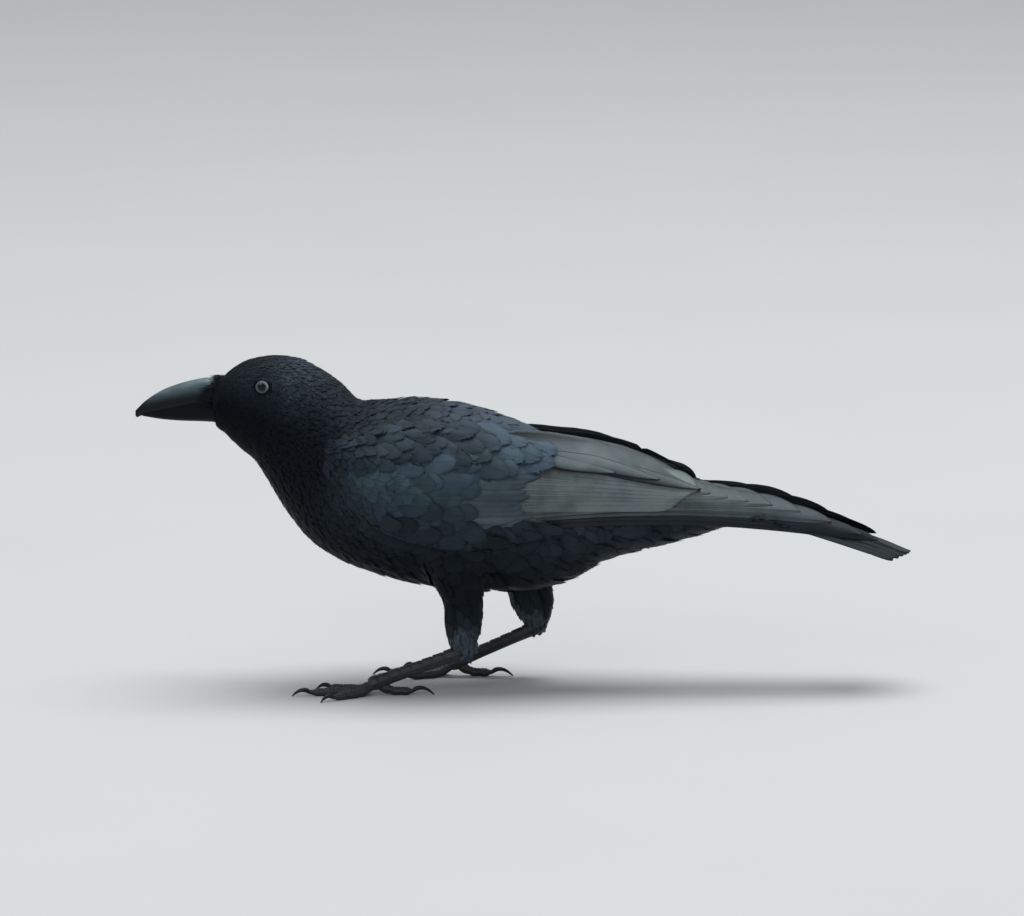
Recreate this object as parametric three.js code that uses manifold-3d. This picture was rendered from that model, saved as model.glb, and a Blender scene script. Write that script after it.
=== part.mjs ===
// A life-size crow, standing low on both feet with its head up and its wings folded.
// Millimetres, +Z up. The bill points along -X, and the bird's left side is towards -Y.
// The origin is on the floor, under the middle of the bird.
// The body, wings and tail have the outline of the plumage, out to the tips of the feathers.

import * as THREE from "three";
import { mergeVertices } from "three/addons/utils/BufferGeometryUtils.js";
import Module from "manifold-3d";

// ---------------------------------------------------------------- driving dimensions

const GAP = 0.3; // clearance between neighbouring pieces
const CUT = 0.45; // how much larger than its piece a cutter is, which leaves GAP or a bit less
const BODY_SIDES = 24; // flats round the body
const BODY_STEP = 10; // length of body between rings, about
const ROUNDNESS = 2.25; // superellipse exponent of the body's sections, 2 being an ellipse

// The body from the feather edge on the bill to the tips of the tail coverts. Each section is a
// flat closed curve between a point on the back line and one on the belly line, both [x, z].
// half is half its width, and taper is how much narrower it gets towards the back line.
const BODY = [
  { top: [-200, 198.6], bottom: [-199, 172], half: 8.6, taper: 0.05 }, // bristles over the bill
  { top: [-190, 202.6], bottom: [-194, 168.6], half: 13.4, taper: 0.08 },
  { top: [-178, 210.2], bottom: [-185, 160.4], half: 17.6, taper: 0.1 }, // lores and chin
  { top: [-160, 213.8], bottom: [-174.5, 150.6], half: 20.6, taper: 0.1 }, // crown and cheeks
  { top: [-139, 211], bottom: [-166.5, 140.5], half: 23, taper: 0.08 },
  { top: [-119, 198.6], bottom: [-159, 128], half: 27, taper: 0.04 }, // nape and throat
  { top: [-104, 187], bottom: [-148, 110.5], half: 33, taper: 0 },
  { top: [-88, 185.8], bottom: [-133, 93], half: 38, taper: -0.01 }, // foot of the neck
  { top: [-65, 187.2], bottom: [-109, 78.6], half: 41.5, taper: -0.02 }, // breast
  { top: [-40, 183.6], bottom: [-75, 67.4], half: 43, taper: -0.03 },
  { top: [-15, 176], bottom: [-37, 61.8], half: 42, taper: -0.03 }, // belly
  { top: [10.5, 166], bottom: [-2, 60.8], half: 38.5, taper: -0.03 },
  { top: [37, 153.6], bottom: [29.5, 69], half: 34, taper: -0.02 },
  { top: [64, 142.6], bottom: [58, 83], half: 28.5, taper: 0 }, // rump and vent
  { top: [90, 134.4], bottom: [86.5, 92.4], half: 23.5, taper: 0 },
  { top: [115, 128.6], bottom: [113, 99.6], half: 19, taper: 0 },
  { top: [136, 123.6], bottom: [135, 107.2], half: 14.5, taper: 0 }, // tips of the tail coverts
];
const NAPE_CUT = 4.75; // where the head ends, counted in sections of BODY
const SHOULDER_CUT = 6.7; // where the neck ends

// The bill: heights of its ridge, of the line where its halves meet, and of its lower edge.
const BILL = [
  { x: -176, ridge: 203, meet: 184.4, under: 170, half: 10.6 },
  { x: -190, ridge: 201.4, meet: 186.2, under: 170.4, half: 10.2 },
  { x: -203, ridge: 199.4, meet: 185.4, under: 171.2, half: 8.8 },
  { x: -217, ridge: 196.2, meet: 182.4, under: 171.6, half: 7.1 },
  { x: -230, ridge: 191, meet: 179.6, under: 172.6, half: 4.9 },
  { x: -239.5, ridge: 184.6, meet: 177.6, under: 174, half: 2.7 },
  { x: -246.3, ridge: 177, meet: 175.6, under: 174.9, half: 0.5 },
];
const LOWER_BILL_SHORTER = 2.4; // how far the upper tip reaches past the lower one

const EYE_RADIUS = 7;
const EYE_AT = new THREE.Vector3(-165, 14.2, 195.6); // the right eye's centre
const EYE_DISH_RADIUS = 12; // the hollow round the eye, part of a larger ball
const EYE_DISH_OUT = 15.2; // from the eye's centre out to the ball's centre

// The folded wing, as heights and distances from the middle of its lower and upper edges.
// bulge is how far its outer face swells past the straight line between the edges.
const WING = [
  { x: -128, low: [36, 149], high: [35.5, 154], bulge: 0.4 }, // bend of the wing
  { x: -121, low: [39.5, 135.5], high: [36.5, 160], bulge: 3.4 },
  { x: -108, low: [43, 119.5], high: [35, 167.5], bulge: 7.5 },
  { x: -85, low: [45.5, 105.4], high: [34, 172.5], bulge: 10.5 },
  { x: -53, low: [46.2, 97.2], high: [33.6, 172], bulge: 12 },
  { x: -27, low: [45.2, 96.4], high: [31.6, 168.5], bulge: 12.2 },
  { x: 10, low: [41.5, 104], high: [21.4, 162.4], bulge: 10.6 },
  { x: 48, low: [36, 112.6], high: [11.5, 157.6], bulge: 9.5 },
  { x: 80, low: [31, 117.6], high: [9.8, 148], bulge: 6.5 },
  { x: 104, low: [28, 118.6], high: [9.4, 137.4], bulge: 4.4 },
  { x: 116, low: [26.8, 118.2], high: [10.4, 131.6], bulge: 3.4 }, // tips of the tertials
  { x: 137, low: [25.4, 117.4], high: [11.6, 127.8], bulge: 2.6 },
  { x: 155, low: [24, 115], high: [12, 125.2], bulge: 2 },
  { x: 175, low: [22, 110.4], high: [12, 121.4], bulge: 1.5 },
  { x: 200, low: [19.5, 102.8], high: [12.4, 112], bulge: 0.9 },
  { x: 217, low: [17, 97.2], high: [13, 103], bulge: 0.5 },
  { x: 226, low: [15.5, 94.4], high: [14, 97.2], bulge: 0.2 }, // tip of the longest primary
];
const WING_BEND = -128;
const COVERTS_END = -15; // the shoulder and covert piece ends here
const TERTIALS_END = 115;
const WING_TIP = 226;
// Height of the line between the secondaries, above it, and the primaries, below it.
const PRIMARIES_TOP = [
  [-40, 124.8],
  [-15, 123.4],
  [17, 121.8],
  [60, 121.6],
  [92, 123.4],
  [106, 127],
  [117, 131.4],
];
const FAR_WING_LIFT = 4; // the right wing's tertials stand a little higher than the left's

// The tail: its middle line on top, [x, z], and its fan.
const TAIL_TOP = [
  [94, 123],
  [134, 119.2],
  [152, 116.2],
  [175, 110.6],
  [200, 103],
  [220, 96.4],
  [236, 90.6],
  [246.3, 85.6],
];
const TAIL_HALF = { root: 15, tip: 28 };
const TAIL_ARCH = { root: 4.5, tip: 3.6 }; // how far the outer feathers lie below the middle ones
const TAIL_ROUND = 13; // how much shorter the outermost feathers are
const TAIL_THICK = { root: 4.2, tip: 1.3 };
const TAIL_MIDDLE_HALF = 9.5; // half the width of the middle pair

// Legs. The left foot is placed forward, and the right one back.
const LEGS = {
  left: {
    side: -1,
    thigh: [
      { at: [-50, 25, 94], fore: 20, across: 14 },
      { at: [-42, 28, 74], fore: 16, across: 12.5 },
      { at: [-38.5, 29, 58], fore: 12.2, across: 9.8 },
      { at: [-38.4, 29.6, 45], fore: 10.4, across: 8 },
      { at: [-38.8, 30, 36], fore: 8.6, across: 6.6 },
      { at: [-39.2, 30, 31], fore: 5.4, across: 4.6 },
    ],
    hock: [-39.8, 30, 27.4],
    foot: [-94, 30, 7.8],
    heading: 5,
  },
  right: {
    side: 1,
    thigh: [
      { at: [-12, 25, 93], fore: 21, across: 14 },
      { at: [-3, 28, 74], fore: 17.5, across: 12.5 },
      { at: [2.6, 29, 59], fore: 14.2, across: 10 },
      { at: [5.8, 29.6, 48], fore: 11.8, across: 8.4 },
      { at: [8.4, 30, 40.4], fore: 9.2, across: 6.8 },
      { at: [9.8, 30, 36.4], fore: 5.6, across: 4.8 },
    ],
    hock: [10.4, 30, 32.8],
    foot: [-44, 30, 8.6],
    heading: 5,
  },
};
const HOCK_RADIUS = 4.6;
const SHANK = { fore: 3.8, across: 2.7 }; // half sizes of the tarsus at its middle
const FOOT_ROOT = { fore: 4.6, across: 5 }; // half sizes where the toes begin

// Toes, numbered from the hind one. turn is the angle from straight ahead, outward.
const TOES = [
  { turn: 176, length: 20, wide: 2.9, claw: 16 },
  { turn: -29, length: 28, wide: 2.6, claw: 11.5 },
  { turn: 0, length: 38, wide: 2.8, claw: 13 },
  { turn: 31, length: 29, wide: 2.6, claw: 11 },
];
const TOE_START = 3; // toes begin this far from the middle of the foot's root
const TOE_HEIGHT = 2.9; // half height of a toe
const TOE_SUNK = 0.5; // how much of its round underside is pressed flat on the floor

// ---------------------------------------------------------------- materials

const finish = (color, roughness, metalness = 0) =>
  new THREE.MeshStandardMaterial({ color, roughness, metalness });
const plumage = finish(0x1a1e26, 0.5);
const quills = finish(0x20262e, 0.4);
const horn = finish(0x1b2126, 0.35);
const iris = finish(0xb9c6cf, 0.1);
const scale = finish(0x17191b, 0.5);
const clawHorn = finish(0x141516, 0.35);

// ---------------------------------------------------------------- tools for shapes

const wasm = await Module();
wasm.setup();

const mix = THREE.MathUtils.lerp;
const rad = THREE.MathUtils.degToRad;
const vec = (x, y, z) => new THREE.Vector3(x, y, z);

// One smooth value from a list, where at counts its entries from 0.
function smooth(values, at) {
  const last = values.length - 1;
  const i = Math.min(Math.floor(Math.max(at, 0)), last - 1);
  const t = THREE.MathUtils.clamp(at, 0, last) - i;
  const [a, b, c, d] = [i - 1, i, i + 1, i + 2].map(
    (k) => values[THREE.MathUtils.clamp(k, 0, last)],
  );
  const [m, n] = [(c - a) / 2, (d - b) / 2];
  return (
    b + t * m + t * t * (3 * (c - b) - 2 * m - n) + t ** 3 * (2 * (b - c) + m + n)
  );
}

// Where x falls in a rising or falling list, as a place that smooth() takes.
function placeOf(xs, x) {
  const sign = Math.sign(xs[xs.length - 1] - xs[0]);
  let i = 0;
  while (i < xs.length - 2 && sign * (x - xs[i + 1]) > 0) i++;
  return i + (x - xs[i]) / (xs[i + 1] - xs[i]);
}

// Turns a mesh's faces outward and merges the corners that its seams doubled.
function closed(geometry) {
  geometry.deleteAttribute("normal");
  geometry.deleteAttribute("uv");
  const merged = mergeVertices(geometry, 1e-4);
  const solid = solidOf(merged);
  if (solid.volume() < 0) {
    const order = merged.index.array;
    for (let i = 0; i < order.length; i += 3) {
      [order[i + 1], order[i + 2]] = [order[i + 2], order[i + 1]];
    }
  }
  return merged;
}

function solidOf(geometry) {
  return new wasm.Manifold(
    new wasm.Mesh({
      numProp: 3,
      vertProperties: new Float32Array(geometry.attributes.position.array),
      triVerts: new Uint32Array(geometry.index.array),
    }),
  );
}

// The largest single piece of a solid, as a geometry. Cuts can leave crumbs, which are dropped.
function geometryOf(solid) {
  const pieces = solid.decompose();
  const largest = pieces.reduce((a, b) => (b.volume() > a.volume() ? b : a));
  const mesh = largest.getMesh();
  return new THREE.BufferGeometry()
    .setAttribute("position", new THREE.BufferAttribute(mesh.vertProperties, 3))
    .setIndex(new THREE.BufferAttribute(mesh.triVerts, 1));
}

// A round form: each corner of a capped cylinder goes to place(along, angle), where along runs
// 0 to 1 from end to end. The middle of each end goes to the mean of its rim.
function roundForm(sides, steps, place) {
  const geometry = new THREE.CylinderGeometry(1, 1, 1, sides, steps);
  const at = geometry.getAttribute("position");
  const rimMean = (along) => {
    const sum = vec(0, 0, 0);
    for (let k = 0; k < sides; k++) {
      sum.add(place(along, (2 * Math.PI * k) / sides));
    }
    return sum.divideScalar(sides);
  };
  const means = [rimMean(0), rimMean(1)];
  for (let i = 0; i < at.count; i++) {
    const along = 0.5 - at.getY(i);
    const onRim = Math.hypot(at.getX(i), at.getZ(i)) > 0.5;
    const angle = Math.atan2(at.getX(i), at.getZ(i));
    const p = onRim ? place(along, angle) : means[Math.round(along)];
    at.setXYZ(i, p.x, p.y, p.z);
  }
  return closed(geometry);
}

// A thin form: each corner of a box goes to place(along, across, deep), all from 0 to 1.
function thinForm(steps, rows, place) {
  const geometry = new THREE.BoxGeometry(1, 1, 1, steps, rows, 1);
  const at = geometry.getAttribute("position");
  for (let i = 0; i < at.count; i++) {
    const p = place(at.getX(i) + 0.5, at.getY(i) + 0.5, at.getZ(i) + 0.5);
    at.setXYZ(i, p.x, p.y, p.z);
  }
  return closed(geometry);
}

const without = (geometry, ...cutters) =>
  geometryOf(
    cutters.reduce((solid, c) => solid.subtract(solidOf(c)), solidOf(geometry)),
  );

const round = (value, power) =>
  Math.sign(value) * Math.abs(value) ** (2 / power);

// ---------------------------------------------------------------- body

// A point on the body's surface at a place along BODY, grown outward by grow.
function bodyPoint(at, angle, grow = 0) {
  const pick = (key, k) => smooth(BODY.map((s) => s[key][k]), at);
  const top = vec(pick("top", 0), 0, pick("top", 1));
  const bottom = vec(pick("bottom", 0), 0, pick("bottom", 1));
  const half = smooth(BODY.map((s) => s.half), at);
  const taper = smooth(BODY.map((s) => s.taper), at);
  const up = top.clone().sub(bottom).multiplyScalar(0.5);
  const height = up.length();
  const rise = round(Math.sin(angle), ROUNDNESS);
  const width = round(Math.cos(angle), ROUNDNESS) * (1 - taper * rise);
  const p = top.add(bottom).multiplyScalar(0.5);
  p.addScaledVector(up.normalize(), (height + grow) * rise);
  p.y = (half + grow) * width;
  return p;
}

const sectionLength = (at) =>
  bodyPoint(at, 0).distanceTo(bodyPoint(at + 0.01, 0)) / 0.01;

// The stretch of body between two places along BODY, each end pulled in by half a gap.
function bodyStretch(from, to, grow = 0) {
  const last = BODY.length - 1;
  const start = from > 0 ? from + GAP / 2 / sectionLength(from) : from;
  const end = to < last ? to - GAP / 2 / sectionLength(to) : to;
  let length = 0;
  for (let at = from; at < to; at += 0.25) length += sectionLength(at) * 0.25;
  const steps = Math.round(length / BODY_STEP);
  return roundForm(BODY_SIDES, steps, (along, angle) =>
    bodyPoint(mix(start, end, along), angle, grow),
  );
}

const bodyEnd = BODY.length - 1;
const grownBody = roundForm(BODY_SIDES, 40, (along, angle) => {
  const p = bodyPoint(mix(0, bodyEnd, along), angle, CUT);
  p.x += CUT * (2 * along - 1);
  return p;
});

// ---------------------------------------------------------------- bill

// One half of the bill: round on its outer side, and flat where it meets the other.
function billHalf(upper, grow = 0) {
  const xs = BILL.map((s) => s.x);
  const key = upper ? "ridge" : "under";
  const short = upper ? 0 : LOWER_BILL_SHORTER;
  const side = upper ? 1 : -1;
  return roundForm(12, 10, (along, angle) => {
    const x = mix(xs[0] + grow, xs[xs.length - 1] + short, along ** 0.85);
    const at = placeOf(xs, x);
    const outer = smooth(BILL.map((s) => s[key]), at);
    const meet = smooth(BILL.map((s) => s.meet), at) + (side * GAP) / 2;
    const half = Math.max(smooth(BILL.map((s) => s.half), at), 0.5);
    const high = Math.max(side * (outer - meet), 0.5);
    const rise = Math.sin(angle);
    const p = vec(x, 0, meet);
    p.y = (half * (upper ? 1 : 0.92) + grow) * round(Math.cos(angle), 2.3);
    p.z += side * (rise > 0 ? (high + grow) * rise : -grow);
    return p;
  });
}

// ---------------------------------------------------------------- head, neck and trunk

const ball = (radius) => new THREE.SphereGeometry(radius, 12, 8);

function movedTo(geometry, at) {
  return closed(geometry.clone().translate(at.x, at.y, at.z));
}

function headGeometry() {
  const cutters = [billHalf(true, CUT), billHalf(false, CUT)];
  for (const side of [-1, 1]) {
    const eye = vec(EYE_AT.x, EYE_AT.y * side, EYE_AT.z);
    const dish = vec(EYE_AT.x, (EYE_AT.y + EYE_DISH_OUT) * side, EYE_AT.z);
    cutters.push(movedTo(ball(EYE_RADIUS + CUT), eye));
    cutters.push(movedTo(ball(EYE_DISH_RADIUS), dish));
  }
  return without(bodyStretch(0, NAPE_CUT), ...cutters);
}

// ---------------------------------------------------------------- wings

const wingXs = WING.map((s) => s.x);

// A point on a wing's outer face, deep mm inside it. across runs 0 to 1 from edge to edge.
function wingPoint(side, x, across, deep = 0) {
  const at = placeOf(wingXs, x);
  const pick = (key, k) => smooth(WING.map((s) => s[key][k]), at);
  const low = vec(x, pick("low", 0), pick("low", 1));
  const high = vec(x, pick("high", 0), pick("high", 1));
  const bulge = smooth(WING.map((s) => s.bulge), at);
  const out = vec(0, high.z - low.z, low.y - high.y).normalize();
  const p = low.lerp(high, across);
  p.addScaledVector(out, bulge * Math.sin(Math.PI * across) ** 0.85 - deep);
  if (side > 0) p.z += FAR_WING_LIFT * liftShare(x) * across ** 2;
  p.y *= side;
  return p;
}

// The far wing's lift fades in behind the shoulder and out at the tips of the tertials.
const liftShare = (x) =>
  Math.sin(Math.PI * THREE.MathUtils.clamp(x / 125, 0, 1));

// The place across the wing, from its lower edge, of the line over the primaries.
function primariesShare(x) {
  const at = placeOf(wingXs, x);
  const low = smooth(WING.map((s) => s.low[1]), at);
  const high = smooth(WING.map((s) => s.high[1]), at);
  const xs = PRIMARIES_TOP.map((p) => p[0]);
  const line = smooth(PRIMARIES_TOP.map((p) => p[1]), placeOf(xs, x));
  return THREE.MathUtils.clamp((line - low) / (high - low), 0.1, 0.98);
}

// Stations for a piece of wing: equal steps between each two of the given places.
function stations(places, counts) {
  const xs = [places[0]];
  counts.forEach((n, i) => {
    for (let k = 1; k <= n; k++) xs.push(mix(places[i], places[i + 1], k / n));
  });
  return xs;
}

// A piece of folded wing between two lines across it. Its thickness fades towards its edges.
function wingPiece(side, { xs, rows, low, high, thick, edge }) {
  const steps = xs.length - 1;
  const piece = thinForm(steps, rows, (along, across, deep) => {
    const x = xs[Math.round(along * steps)];
    const span = wingPoint(1, x, 0).distanceTo(wingPoint(1, x, 1));
    const inset = GAP / 2 / Math.max(span, 4);
    const share = mix(low(x) + inset, high(x) - inset, across);
    const depth = mix(edge, mix(thick[0], thick[1], along), Math.sin(Math.PI * across));
    return wingPoint(side, x, share, deep * depth);
  });
  return without(piece, grownBody);
}

const WING_PIECES = {
  coverts: {
    xs: stations([WING_BEND, COVERTS_END - GAP / 2], [10]),
    rows: 7,
    low: () => 0,
    high: () => 1,
    thick: [9, 11],
    edge: 1.2,
  },
  secondaries: {
    xs: stations([COVERTS_END + GAP / 2, TERTIALS_END], [10]),
    rows: 5,
    low: primariesShare,
    high: () => 1,
    thick: [7, 2],
    edge: 1,
  },
  primaries: {
    xs: stations([COVERTS_END + GAP / 2, TERTIALS_END, WING_TIP], [10, 7]),
    rows: 3,
    low: () => 0,
    high: (x) => (x <= TERTIALS_END ? primariesShare(x) : 1),
    thick: [5, 1.2],
    edge: 0.9,
  },
};

// ---------------------------------------------------------------- tail

// A strip of the tail between two lines that run back along its fan, from -1 to 1 across.
function tailPiece(low, high, rows) {
  const xs = TAIL_TOP.map((p) => p[0]);
  const [root, tip] = [xs[0], xs[xs.length - 1]];
  const piece = thinForm(9, rows, (along, across, deep) => {
    const half = mix(TAIL_HALF.root, TAIL_HALF.tip, along ** 0.7);
    const share = mix(low(half), high(half), across);
    const x = mix(root, tip - TAIL_ROUND * share * share, along);
    const reach = (x - root) / (tip - root);
    const top = smooth(TAIL_TOP.map((p) => p[1]), placeOf(xs, x));
    const arch = mix(TAIL_ARCH.root, TAIL_ARCH.tip, reach) * share * share;
    const thick = mix(TAIL_THICK.root, TAIL_THICK.tip, reach);
    return vec(x, half * share, top - arch - thick * deep);
  });
  return without(piece, grownBody);
}

const tailPieces = {
  tail_left: tailPiece(
    () => -1,
    (half) => -(TAIL_MIDDLE_HALF + GAP) / half,
    4,
  ),
  tail_middle: tailPiece(
    (half) => -TAIL_MIDDLE_HALF / half,
    (half) => TAIL_MIDDLE_HALF / half,
    3,
  ),
  tail_right: tailPiece(
    (half) => (TAIL_MIDDLE_HALF + GAP) / half,
    () => 1,
    4,
  ),
};

// ---------------------------------------------------------------- legs

// A limb through rings, each with its centre, its half sizes and the direction that it faces.
function limb(rings, sides, steps) {
  const curve = new THREE.CatmullRomCurve3(rings.map((r) => r.at));
  return roundForm(sides, steps, (along, angle) => {
    const at = along * (rings.length - 1);
    const centre = curve.getPoint(along);
    const tangent = curve.getTangent(along);
    const across = vec(0, 1, 0).addScaledVector(tangent, -tangent.y).normalize();
    const fore = tangent.clone().cross(across);
    return centre
      .addScaledVector(across, smooth(rings.map((r) => r.across), at) * Math.cos(angle))
      .addScaledVector(fore, smooth(rings.map((r) => r.fore), at) * Math.sin(angle));
  });
}

// The rings of a feathered thigh, grown outward by grow.
function thighRings(leg, grow = 0) {
  const rings = leg.thigh.map((r) => ({
    at: vec(r.at[0], r.at[1] * leg.side, r.at[2]),
    fore: r.fore + grow,
    across: r.across + grow,
  }));
  const [before, last] = rings.slice(-2).map((r) => r.at);
  last.add(last.clone().sub(before).setLength(1).multiplyScalar(grow));
  return rings;
}

// The bare shank, with the knob of the hock above and the root of the toes below.
function shank(leg, grow = 0) {
  const hock = vec(leg.hock[0], leg.hock[1] * leg.side, leg.hock[2]);
  const foot = vec(leg.foot[0], leg.foot[1] * leg.side, leg.foot[2]);
  const ring = (share, fore, across) => ({
    at: hock.clone().lerp(foot, share),
    fore: fore + grow,
    across: across + grow,
  });
  const rings = [
    ring(-0.07, 2.2, 2.2),
    ring(-0.02, HOCK_RADIUS, HOCK_RADIUS * 0.95),
    ring(0.06, HOCK_RADIUS, HOCK_RADIUS * 0.9),
    ring(0.2, SHANK.fore * 1.06, SHANK.across),
    ring(0.5, SHANK.fore, SHANK.across),
    ring(0.8, SHANK.fore, SHANK.across * 1.05),
    ring(0.94, FOOT_ROOT.fore * 0.92, FOOT_ROOT.across * 0.85),
    ring(1.02, FOOT_ROOT.fore, FOOT_ROOT.across),
    ring(1.07 + grow / 60, FOOT_ROOT.fore * 0.6, FOOT_ROOT.across * 0.7),
  ];
  return limb(rings, 10, 12);
}

// A toe's own frame: the middle of the foot's root, and two directions on the floor.
function toeFrame(leg, toe) {
  const foot = vec(leg.foot[0], leg.foot[1] * leg.side, 0);
  const turn = rad(toe.turn + leg.heading) * leg.side;
  const forward = vec(-Math.cos(turn), Math.sin(turn), 0);
  const sideways = vec(-forward.y, forward.x, 0);
  return { foot, forward, sideways };
}

// A toe comes down from the foot's root and lies along the floor, with a swelling at each joint.
function toeForm(leg, toe, grow = 0) {
  const { foot, forward, sideways } = toeFrame(leg, toe);
  const joints = TOES.indexOf(toe) + 1;
  const level = TOE_HEIGHT - TOE_SUNK;
  return roundForm(8, 9, (along, angle) => {
    const reach = mix(-grow, toe.length + grow, along);
    const drop = Math.exp(-((reach / 6) ** 2));
    const swell = 1 + 0.1 * Math.cos(2 * Math.PI * joints * along);
    const slim = mix(1, 0.78, along) * swell;
    const ends = Math.min(1, 0.8 + 3 * along, 0.7 + 3 * (1 - along));
    const p = foot.clone().addScaledVector(forward, TOE_START + reach);
    const size = slim * ends;
    p.addScaledVector(sideways, (toe.wide * size + grow) * Math.cos(angle));
    p.z = mix(level, leg.foot[2] - 2.4, drop);
    p.z += (TOE_HEIGHT * size + grow) * Math.sin(angle);
    p.z = Math.max(p.z, -grow);
    return p;
  });
}

// The outer toes give way to the middle one where they crowd at the root.
function toeGeometry(leg, toe) {
  const cutters = [shank(leg, CUT)];
  const middle = TOES[2];
  if (toe !== middle) cutters.push(toeForm(leg, middle, CUT));
  return without(toeForm(leg, toe), ...cutters);
}

// A claw arches up out of the toe's end and comes down to a point on the floor.
function clawGeometry(leg, toe) {
  const { foot, forward, sideways } = toeFrame(leg, toe);
  const root = foot.clone().addScaledVector(forward, TOE_START + toe.length + GAP);
  const size = TOE_HEIGHT * 0.6;
  return roundForm(6, 6, (along, angle) => {
    const thin = 1 - along ** 1.6;
    const reach = toe.claw * (along - 0.12 * along ** 3);
    const arch = toe.claw * 0.2 * Math.sin(Math.PI * along ** 0.8);
    const slope = Math.atan(0.55 * Math.cos(Math.PI * along ** 0.8)) * Math.min(4 * along, 1);
    const high = mix(0.3, size, thin) * Math.sin(angle);
    const p = root.clone().addScaledVector(forward, reach - high * Math.sin(slope));
    p.addScaledVector(sideways, mix(0.3, size * 0.85, thin) * Math.cos(angle));
    p.z = Math.max(mix(size + 0.6, 0.1, along) + arch + high * Math.cos(slope), 0);
    return p;
  });
}

// ---------------------------------------------------------------- the crow

const crow = new THREE.Group();
crow.name = "crow";

function add(name, geometry, material) {
  const mesh = new THREE.Mesh(geometry, material);
  mesh.name = name;
  crow.add(mesh);
  return mesh;
}

add("head", headGeometry(), plumage);
add("neck", bodyStretch(NAPE_CUT, SHOULDER_CUT), plumage);
add("trunk", bodyStretch(SHOULDER_CUT, bodyEnd), plumage);
add("bill_upper", billHalf(true), horn);
add("bill_lower", billHalf(false), horn);

for (const [name, side] of [["left", -1], ["right", 1]]) {
  const eye = add("eye_" + name, closed(ball(EYE_RADIUS)), iris);
  eye.position.set(EYE_AT.x, EYE_AT.y * side, EYE_AT.z);
  for (const [piece, shape] of Object.entries(WING_PIECES)) {
    const material = piece === "coverts" ? plumage : quills;
    add("wing_" + name + "_" + piece, wingPiece(side, shape), material);
  }
}

for (const [name, geometry] of Object.entries(tailPieces)) {
  add(name, geometry, quills);
}

for (const [name, leg] of Object.entries(LEGS)) {
  const thigh = limb(thighRings(leg), 12, 8);
  add("thigh_" + name, without(thigh, grownBody), plumage);
  const thighCutter = limb(thighRings(leg, CUT), 12, 8);
  add("tarsus_" + name, without(shank(leg), thighCutter), scale);
  TOES.forEach((toe, i) => {
    add("toe_" + name + "_" + (i + 1), toeGeometry(leg, toe), scale);
    add("claw_" + name + "_" + (i + 1), clawGeometry(leg, toe), clawHorn);
  });
}

// The origin moves to the floor, under the middle of the bird's box.
const box = new THREE.Box3().setFromObject(crow);
const origin = box.getCenter(vec(0, 0, 0)).setZ(box.min.z);
crow.children.forEach((mesh) => mesh.position.sub(origin));

export default crow;
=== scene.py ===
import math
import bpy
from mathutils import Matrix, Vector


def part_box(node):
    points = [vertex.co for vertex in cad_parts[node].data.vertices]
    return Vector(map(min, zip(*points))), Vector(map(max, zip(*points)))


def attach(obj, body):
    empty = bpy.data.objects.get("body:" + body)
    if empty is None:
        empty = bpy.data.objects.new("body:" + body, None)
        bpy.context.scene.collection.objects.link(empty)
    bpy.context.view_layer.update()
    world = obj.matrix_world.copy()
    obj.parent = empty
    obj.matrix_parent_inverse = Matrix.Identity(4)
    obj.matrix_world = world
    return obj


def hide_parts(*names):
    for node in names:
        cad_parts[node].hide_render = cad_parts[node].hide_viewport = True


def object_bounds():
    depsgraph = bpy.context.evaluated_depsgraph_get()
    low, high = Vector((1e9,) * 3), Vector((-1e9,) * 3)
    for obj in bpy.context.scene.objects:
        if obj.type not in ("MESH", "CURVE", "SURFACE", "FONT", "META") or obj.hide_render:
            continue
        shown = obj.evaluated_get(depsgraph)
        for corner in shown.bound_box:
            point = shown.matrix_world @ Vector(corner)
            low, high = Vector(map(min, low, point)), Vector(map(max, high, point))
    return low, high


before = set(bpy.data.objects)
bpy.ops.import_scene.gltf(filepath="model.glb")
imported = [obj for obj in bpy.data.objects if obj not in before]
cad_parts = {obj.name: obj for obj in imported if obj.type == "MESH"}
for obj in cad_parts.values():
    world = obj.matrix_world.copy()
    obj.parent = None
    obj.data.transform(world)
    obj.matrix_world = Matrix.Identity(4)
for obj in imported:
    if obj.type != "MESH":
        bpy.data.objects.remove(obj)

# A life-size crow in its plumage, standing on a plain floor. Metres, +Z up, the bill along -X and
# the bird's left side towards -Y. One skin replaces the flesh; over it lie thin feathers, in
# tracts as on a real crow. Bill, eyes, legs and claws are pieces of their own.

from types import SimpleNamespace

import bmesh
import bpy
import numpy as np
from mathutils import Vector
from mathutils.bvhtree import BVHTree

CAD_BOX = [list(corner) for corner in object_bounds()]

MM = 0.001
CM = 10 * MM
SIDES = {"left": -1, "right": 1}

# ---------------------------------------------------------------- places taken from the frame

BILL_TIP = CAD_BOX[0][0]
TAIL_TIP = CAD_BOX[1][0]
LENGTH = TAIL_TIP - BILL_TIP
FACE_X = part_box("head")[0].x  # feather edge on the bill
HEAD_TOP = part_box("head")[1].z
HEAD_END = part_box("head")[1].x - 6 * MM
NECK_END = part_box("neck")[1].x
TRUNK_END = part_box("trunk")[1].x  # tips of the tail coverts
EYES = {side: (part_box(f"eye_{side}")[0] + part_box(f"eye_{side}")[1]) / 2 for side in SIDES}
EYE_RADIUS = (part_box("eye_left")[1].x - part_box("eye_left")[0].x) / 2
THIGHS = {side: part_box(f"thigh_{side}") for side in SIDES}
WING_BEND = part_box("wing_left_coverts")[0].x
COVERTS_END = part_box("wing_left_coverts")[1].x
TERTIALS_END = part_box("wing_left_secondaries")[1].x
WING_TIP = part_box("wing_left_primaries")[1].x
TAIL_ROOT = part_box("tail_middle")[0].x

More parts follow.
